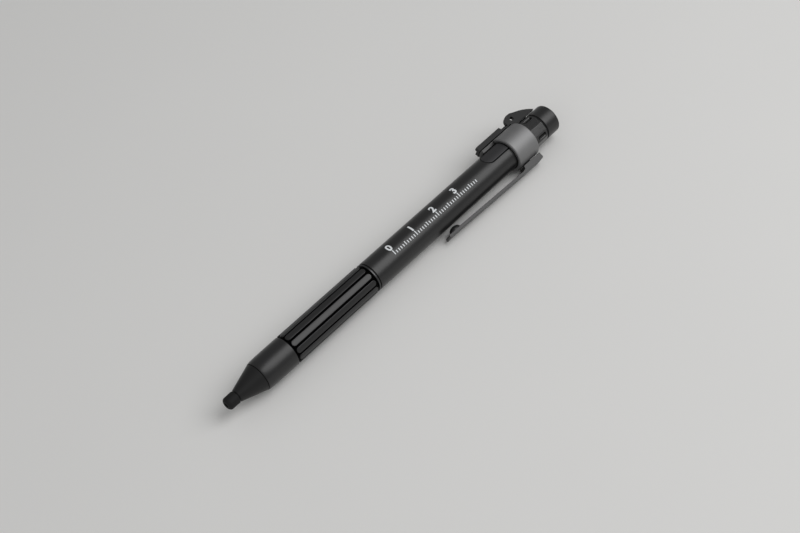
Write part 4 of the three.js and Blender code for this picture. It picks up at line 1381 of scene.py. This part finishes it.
class PEN_OT_collar(PenOperator, bpy.types.Operator):
    """Models the faceted collar with its slots, and the thread behind it"""

    bl_idname = "pen.collar"
    bl_label = "Collar"

    def slot_tool(self, sizes, front, rear, top, direction):
        """A round-ended cutter with sloped walls, from the slot's floor to above the ring."""
        half = sizes.slot_half
        floor = sizes.flat_radius - sizes.slot_depth
        outline = slot_outline(half, front, rear, FINE_ARC)
        tool = blank("slot", [(side, along, 0) for side, along in outline], (0, 0, 1))
        for vertex in tool.data.vertices:
            side, along, level = vertex.co
            height = (top - floor) * level
            share = 1 - (1 - height / sizes.slot_depth) * sizes.slot_flare / half
            end = min(max(along, front + half), rear - half)
            vertex.co = spot(floor + height, end + (along - end) * share, side * share, direction)
        face_out(tool)
        return tool

    def execute(self, context):
        sizes = context.scene.pen_collar
        spigot_front, thread_rear = span("collar")
        front = span("barrel")[1] + SEAT_GAP
        rear = front + sizes.length
        corner = sizes.flat_radius / math.cos(math.pi / sizes.flats)
        facets = [
            spot(corner, front, 0, sizes.first_corner + 2 * math.pi * i / sizes.flats)
            for i in range(sizes.flats)
        ]
        collar = blank("collar_ring", facets, (0, sizes.length, 0))
        slot_rear = rear - sizes.slot_from_rear
        slot_front = slot_rear - sizes.slot_length
        for i in range(sizes.slot_count):
            direction = sizes.slot_first + 2 * math.pi * i / sizes.slot_count
            tool = self.slot_tool(sizes, slot_front, slot_rear, corner + CUT_OVER, direction)
            combine(collar, tool)
        face_out(collar)
        soften(collar, sizes.edge, FACET_ANGLE)
        bore = sizes.spigot - sizes.spigot_wall
        root = sizes.thread - sizes.thread_depth
        thread = []
        for i in range(int((thread_rear - rear) / sizes.thread_pitch)):
            start = thread_rear - i * sizes.thread_pitch
            thread.append((root, start))
            thread += [(sizes.thread, start - sizes.thread_pitch / part) for part in CREST_PARTS]
        profile = [
            (bore, spigot_front),
            (sizes.spigot, spigot_front),
            (sizes.spigot, front + sizes.overlap),
            (root, front + sizes.overlap),
            *reversed(thread),
            (bore, thread_rear),
        ]
        combine(collar, turned("stem", profile), "UNION")
        steps = [
            (spigot_front - CUT_OVER, bore),
            (rear - sizes.neck_length, sizes.neck),
            (rear, bore),
        ]
        combine(collar, turned("drill", stepped(0, steps, thread_rear + CUT_OVER)))
        face_out(collar)
        shade(collar, FACET_ANGLE)
        dress(collar, "collar")
        return {"FINISHED"}


class PEN_OT_tail_cap(PenOperator, bpy.types.Operator):
    """Models the tail cap and the seal in front of it"""

    bl_idname = "pen.tail_cap"
    bl_label = "Tail cap"

    def execute(self, context):
        sizes = context.scene.pen_cap
        front, rear = span("tail_cap")
        radius = radius_of("tail_cap")
        rounding = sizes.round
        seat = rear - sizes.lip
        shoulder = front + sizes.shoulder
        profile = [
            (sizes.socket, front),
            (radius, front),
            *arc(radius - rounding, rear - rounding, rounding, 0, 90),
            (sizes.mouth, rear),
            (sizes.mouth, seat),
            (sizes.lens_bore, seat),
            (sizes.lens_bore, shoulder),
            (sizes.socket, shoulder),
        ]
        cap = turned("cap", profile)
        soften(cap, sizes.edge)
        dress(cap, "tail_cap")
        middle = sum(span("cap_seal")) / 2
        cord = circle(radius_of("cap_seal") - sizes.seal, middle, sizes.seal, FINE_ARC)
        seal = turned("seal", cord)
        shade(seal)
        dress(seal, "cap_seal")
        return {"FINISHED"}


class PEN_OT_torch(PenOperator, bpy.types.Operator):
    """Models the lens, the reflector and the light"""

    bl_idname = "pen.torch"
    bl_label = "Torch head"

    def execute(self, context):
        sizes = context.scene.pen_torch
        front, rear = span("lens")
        radius = radius_of("lens")
        mouth = context.scene.pen_cap.mouth - SLIDE_FIT
        step = rear - sizes.dome
        dome = [(mouth * a, step + sizes.dome * b) for a, b in arc(0, 0, 1, 0, 90)[:-1]]
        lens = [(0, front), (radius, front), (radius, step), *dome, (0, rear)]
        bowl_front, rim_rear = span("reflector")
        rim_front = rim_rear - sizes.rim
        rise = sizes.bowl - sizes.throat
        inner = [
            (sizes.throat + rise * math.sqrt(share), bowl_front + (rim_rear - bowl_front) * share)
            for share in (i / FINE_ARC for i in range(FINE_ARC + 1))
        ]
        outer = [(r + sizes.wall, along) for r, along in inner if along < rim_front]
        rim = [(sizes.bowl + sizes.wall, rim_front), (radius, rim_front), (radius, rim_rear)]
        base, top = span("led")
        flange_rear = base + sizes.light_base
        flange = [(radius_of("led"), base), (radius_of("led"), flange_rear)]
        bulb = arc(0, top - sizes.light, sizes.light, 0, 90)[:-1]
        light = [(0, base), *flange, (sizes.light, flange_rear), *bulb, (0, top)]
        for name, profile, sides, node in (
            ("lens_disc", lens, ROUND_SIDES, "lens"),
            ("bowl", [*outer, *rim, *reversed(inner)], ROUND_SIDES, "reflector"),
            ("light", light, FINE_SIDES, "led"),
        ):
            piece = turned(name, profile, sides)
            shade(piece)
            dress(piece, node)
        return {"FINISHED"}


class PEN_OT_refill(PenOperator, bpy.types.Operator):
    """Models the writing tip and its ball"""

    bl_idname = "pen.refill"
    bl_label = "Refill tip"

    def execute(self, context):
        sizes = context.scene.pen_refill
        front, rear = span("refill_tip")
        radius = radius_of("refill_tip")
        ball_front, ball_rear = span("writing_ball")
        ball_radius = (ball_rear - ball_front) / 2
        socket_rear = ball_rear + sizes.ball_gap
        taper_rear = front + sizes.taper
        needle_rear = taper_rear + sizes.needle_length
        full = needle_rear + sizes.shoulder
        profile = [
            (0, socket_rear),
            (sizes.socket, socket_rear),
            (sizes.socket, front),
            (sizes.mouth, front),
            (sizes.needle, taper_rear),
            (sizes.needle, needle_rear),
            (radius, full),
            (radius, full + sizes.body),
            (sizes.stem, full + sizes.body),
            (sizes.stem, rear),
            (0, rear),
        ]
        tip = turned("writing_tip", profile, FINE_SIDES)
        soften(tip, sizes.edge, TIP_ANGLE)
        dress(tip, "refill_tip")
        half = arc(0, ball_front + ball_radius, ball_radius, -90, 90, FINE_ARC)[1:-1]
        ball = turned("ball", [(0, ball_front), *half, (0, ball_rear)], FINE_SIDES)
        shade(ball, ROUND_ANGLE)
        dress(ball, "writing_ball")
        return {"FINISHED"}


class PEN_OT_spring(PenOperator, bpy.types.Operator):
    """Copies the refill's spring as a piece of its own"""

    bl_idname = "pen.spring"
    bl_label = "Refill spring"

    def execute(self, context):
        front, rear = span("refill_spring")
        slide = next(joint for joint in frame["joints"] if joint["name"] == "refill_slide")
        spring = bpy.data.objects.new("spring", frame["nodes"]["refill_spring"].data.copy())
        context.collection.objects.link(spring)
        edit_all(spring)
        bpy.ops.mesh.remove_doubles(threshold=MERGE)
        mode("OBJECT")
        shade(spring)
        dress(spring, "refill_spring")
        keep = 1 - slide["range_m"][1] / (rear - front)
        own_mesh(spring)
        return {"FINISHED"}


# Stage
LAMPS = {
    "key": {"place": (0.435, 0.41, 0.753), "size": (0.75, 0.85), "power": 5.4},
    "fill": {"place": (0.35, -0.75, 0.5), "size": (0.7, 0.7), "power": 1.0},
}
WORLD_STRENGTH = 0.3
CLIP_START = 10 * MM


def look_from(place, aim, roll=0.0):
    """The turn that points -Z from a place to an aim, then rolls about that line."""
    forward = (Vector(aim) - Vector(place)).normalized()
    level = forward.to_track_quat("-Z", "Y").to_matrix()
    return (level @ Matrix.Rotation(roll, 3, "Z")).to_euler()


class PEN_OT_stage(PenOperator, bpy.types.Operator):
    """Sets the floor, the soft lights and the camera"""

    bl_idname = "pen.stage"
    bl_label = "Stage"

    def execute(self, context):
        scene, sizes = context.scene, context.scene.pen_stage
        clear_selection()
        bpy.ops.mesh.primitive_plane_add(size=sizes.floor, location=(0, 0, 0))
        floor = bpy.context.object
        floor.name = "floor"
        coat(floor, "pale_floor")
        for name, lamp in LAMPS.items():
            turn = look_from(lamp["place"], (0, 0, 0))
            bpy.ops.object.light_add(type="AREA", location=lamp["place"], rotation=turn)
            light = bpy.context.object
            light.name = f"{name}_light"
            light.data.shape = "RECTANGLE"
            light.data.size, light.data.size_y = lamp["size"]
            light.data.energy = lamp["power"]
        scene.world = bpy.data.worlds.new("Studio")
        scene.world.use_nodes = True
        background = scene.world.node_tree.nodes["Background"]
        background.inputs["Color"].default_value = (1, 1, 1, 1)
        background.inputs["Strength"].default_value = WORLD_STRENGTH
        turn = look_from(sizes.camera, sizes.aim, sizes.roll)
        bpy.ops.object.camera_add(location=sizes.camera, rotation=turn)
        scene.camera = bpy.context.object
        scene.camera.data.lens = sizes.lens
        scene.camera.data.sensor_width = sizes.sensor
        scene.camera.data.clip_start = CLIP_START
        scene.view_settings.view_transform = "Standard"
        return {"FINISHED"}


STEPS = (
    PEN_OT_finishes,
    PEN_OT_stylus_tip,
    PEN_OT_nose_cone,
    PEN_OT_grip,
    PEN_OT_trim_ring,
    PEN_OT_barrel,
    PEN_OT_printed_scale,
    PEN_OT_torch_button,
    PEN_OT_band,
    PEN_OT_clip,
    PEN_OT_opener,
    PEN_OT_collar,
    PEN_OT_tail_cap,
    PEN_OT_torch,
    PEN_OT_refill,
    PEN_OT_spring,
    PEN_OT_stage,
)


class PEN_PT_sidebar(bpy.types.Panel):
    """The pen's steps and sizes"""

    bl_label = "Multi tool pen"
    bl_idname = "PEN_PT_sidebar"
    bl_space_type = "VIEW_3D"
    bl_region_type = "UI"
    bl_category = "Pen"

    def draw(self, context):
        for step in STEPS:
            self.layout.operator(step.bl_idname)
        for group_name, group in SIZE_GROUPS.items():
            box = self.layout.box()
            box.label(text=group.__name__)
            for prop in group.__annotations__:
                box.prop(getattr(context.scene, group_name), prop)


CLASSES = (*SIZE_GROUPS.values(), *STEPS, PEN_PT_sidebar)


def register():
    for cls in CLASSES:
        bpy.utils.register_class(cls)
    for name, group in SIZE_GROUPS.items():
        setattr(bpy.types.Scene, name, PointerProperty(type=group))


def unregister():
    for name in SIZE_GROUPS:
        delattr(bpy.types.Scene, name)
    for cls in reversed(CLASSES):
        bpy.utils.unregister_class(cls)


def main():
    register()
    for step in STEPS:
        family, action = step.bl_idname.split(".")
        getattr(getattr(bpy.ops, family), action)()


if __name__ == "__main__":
    main()
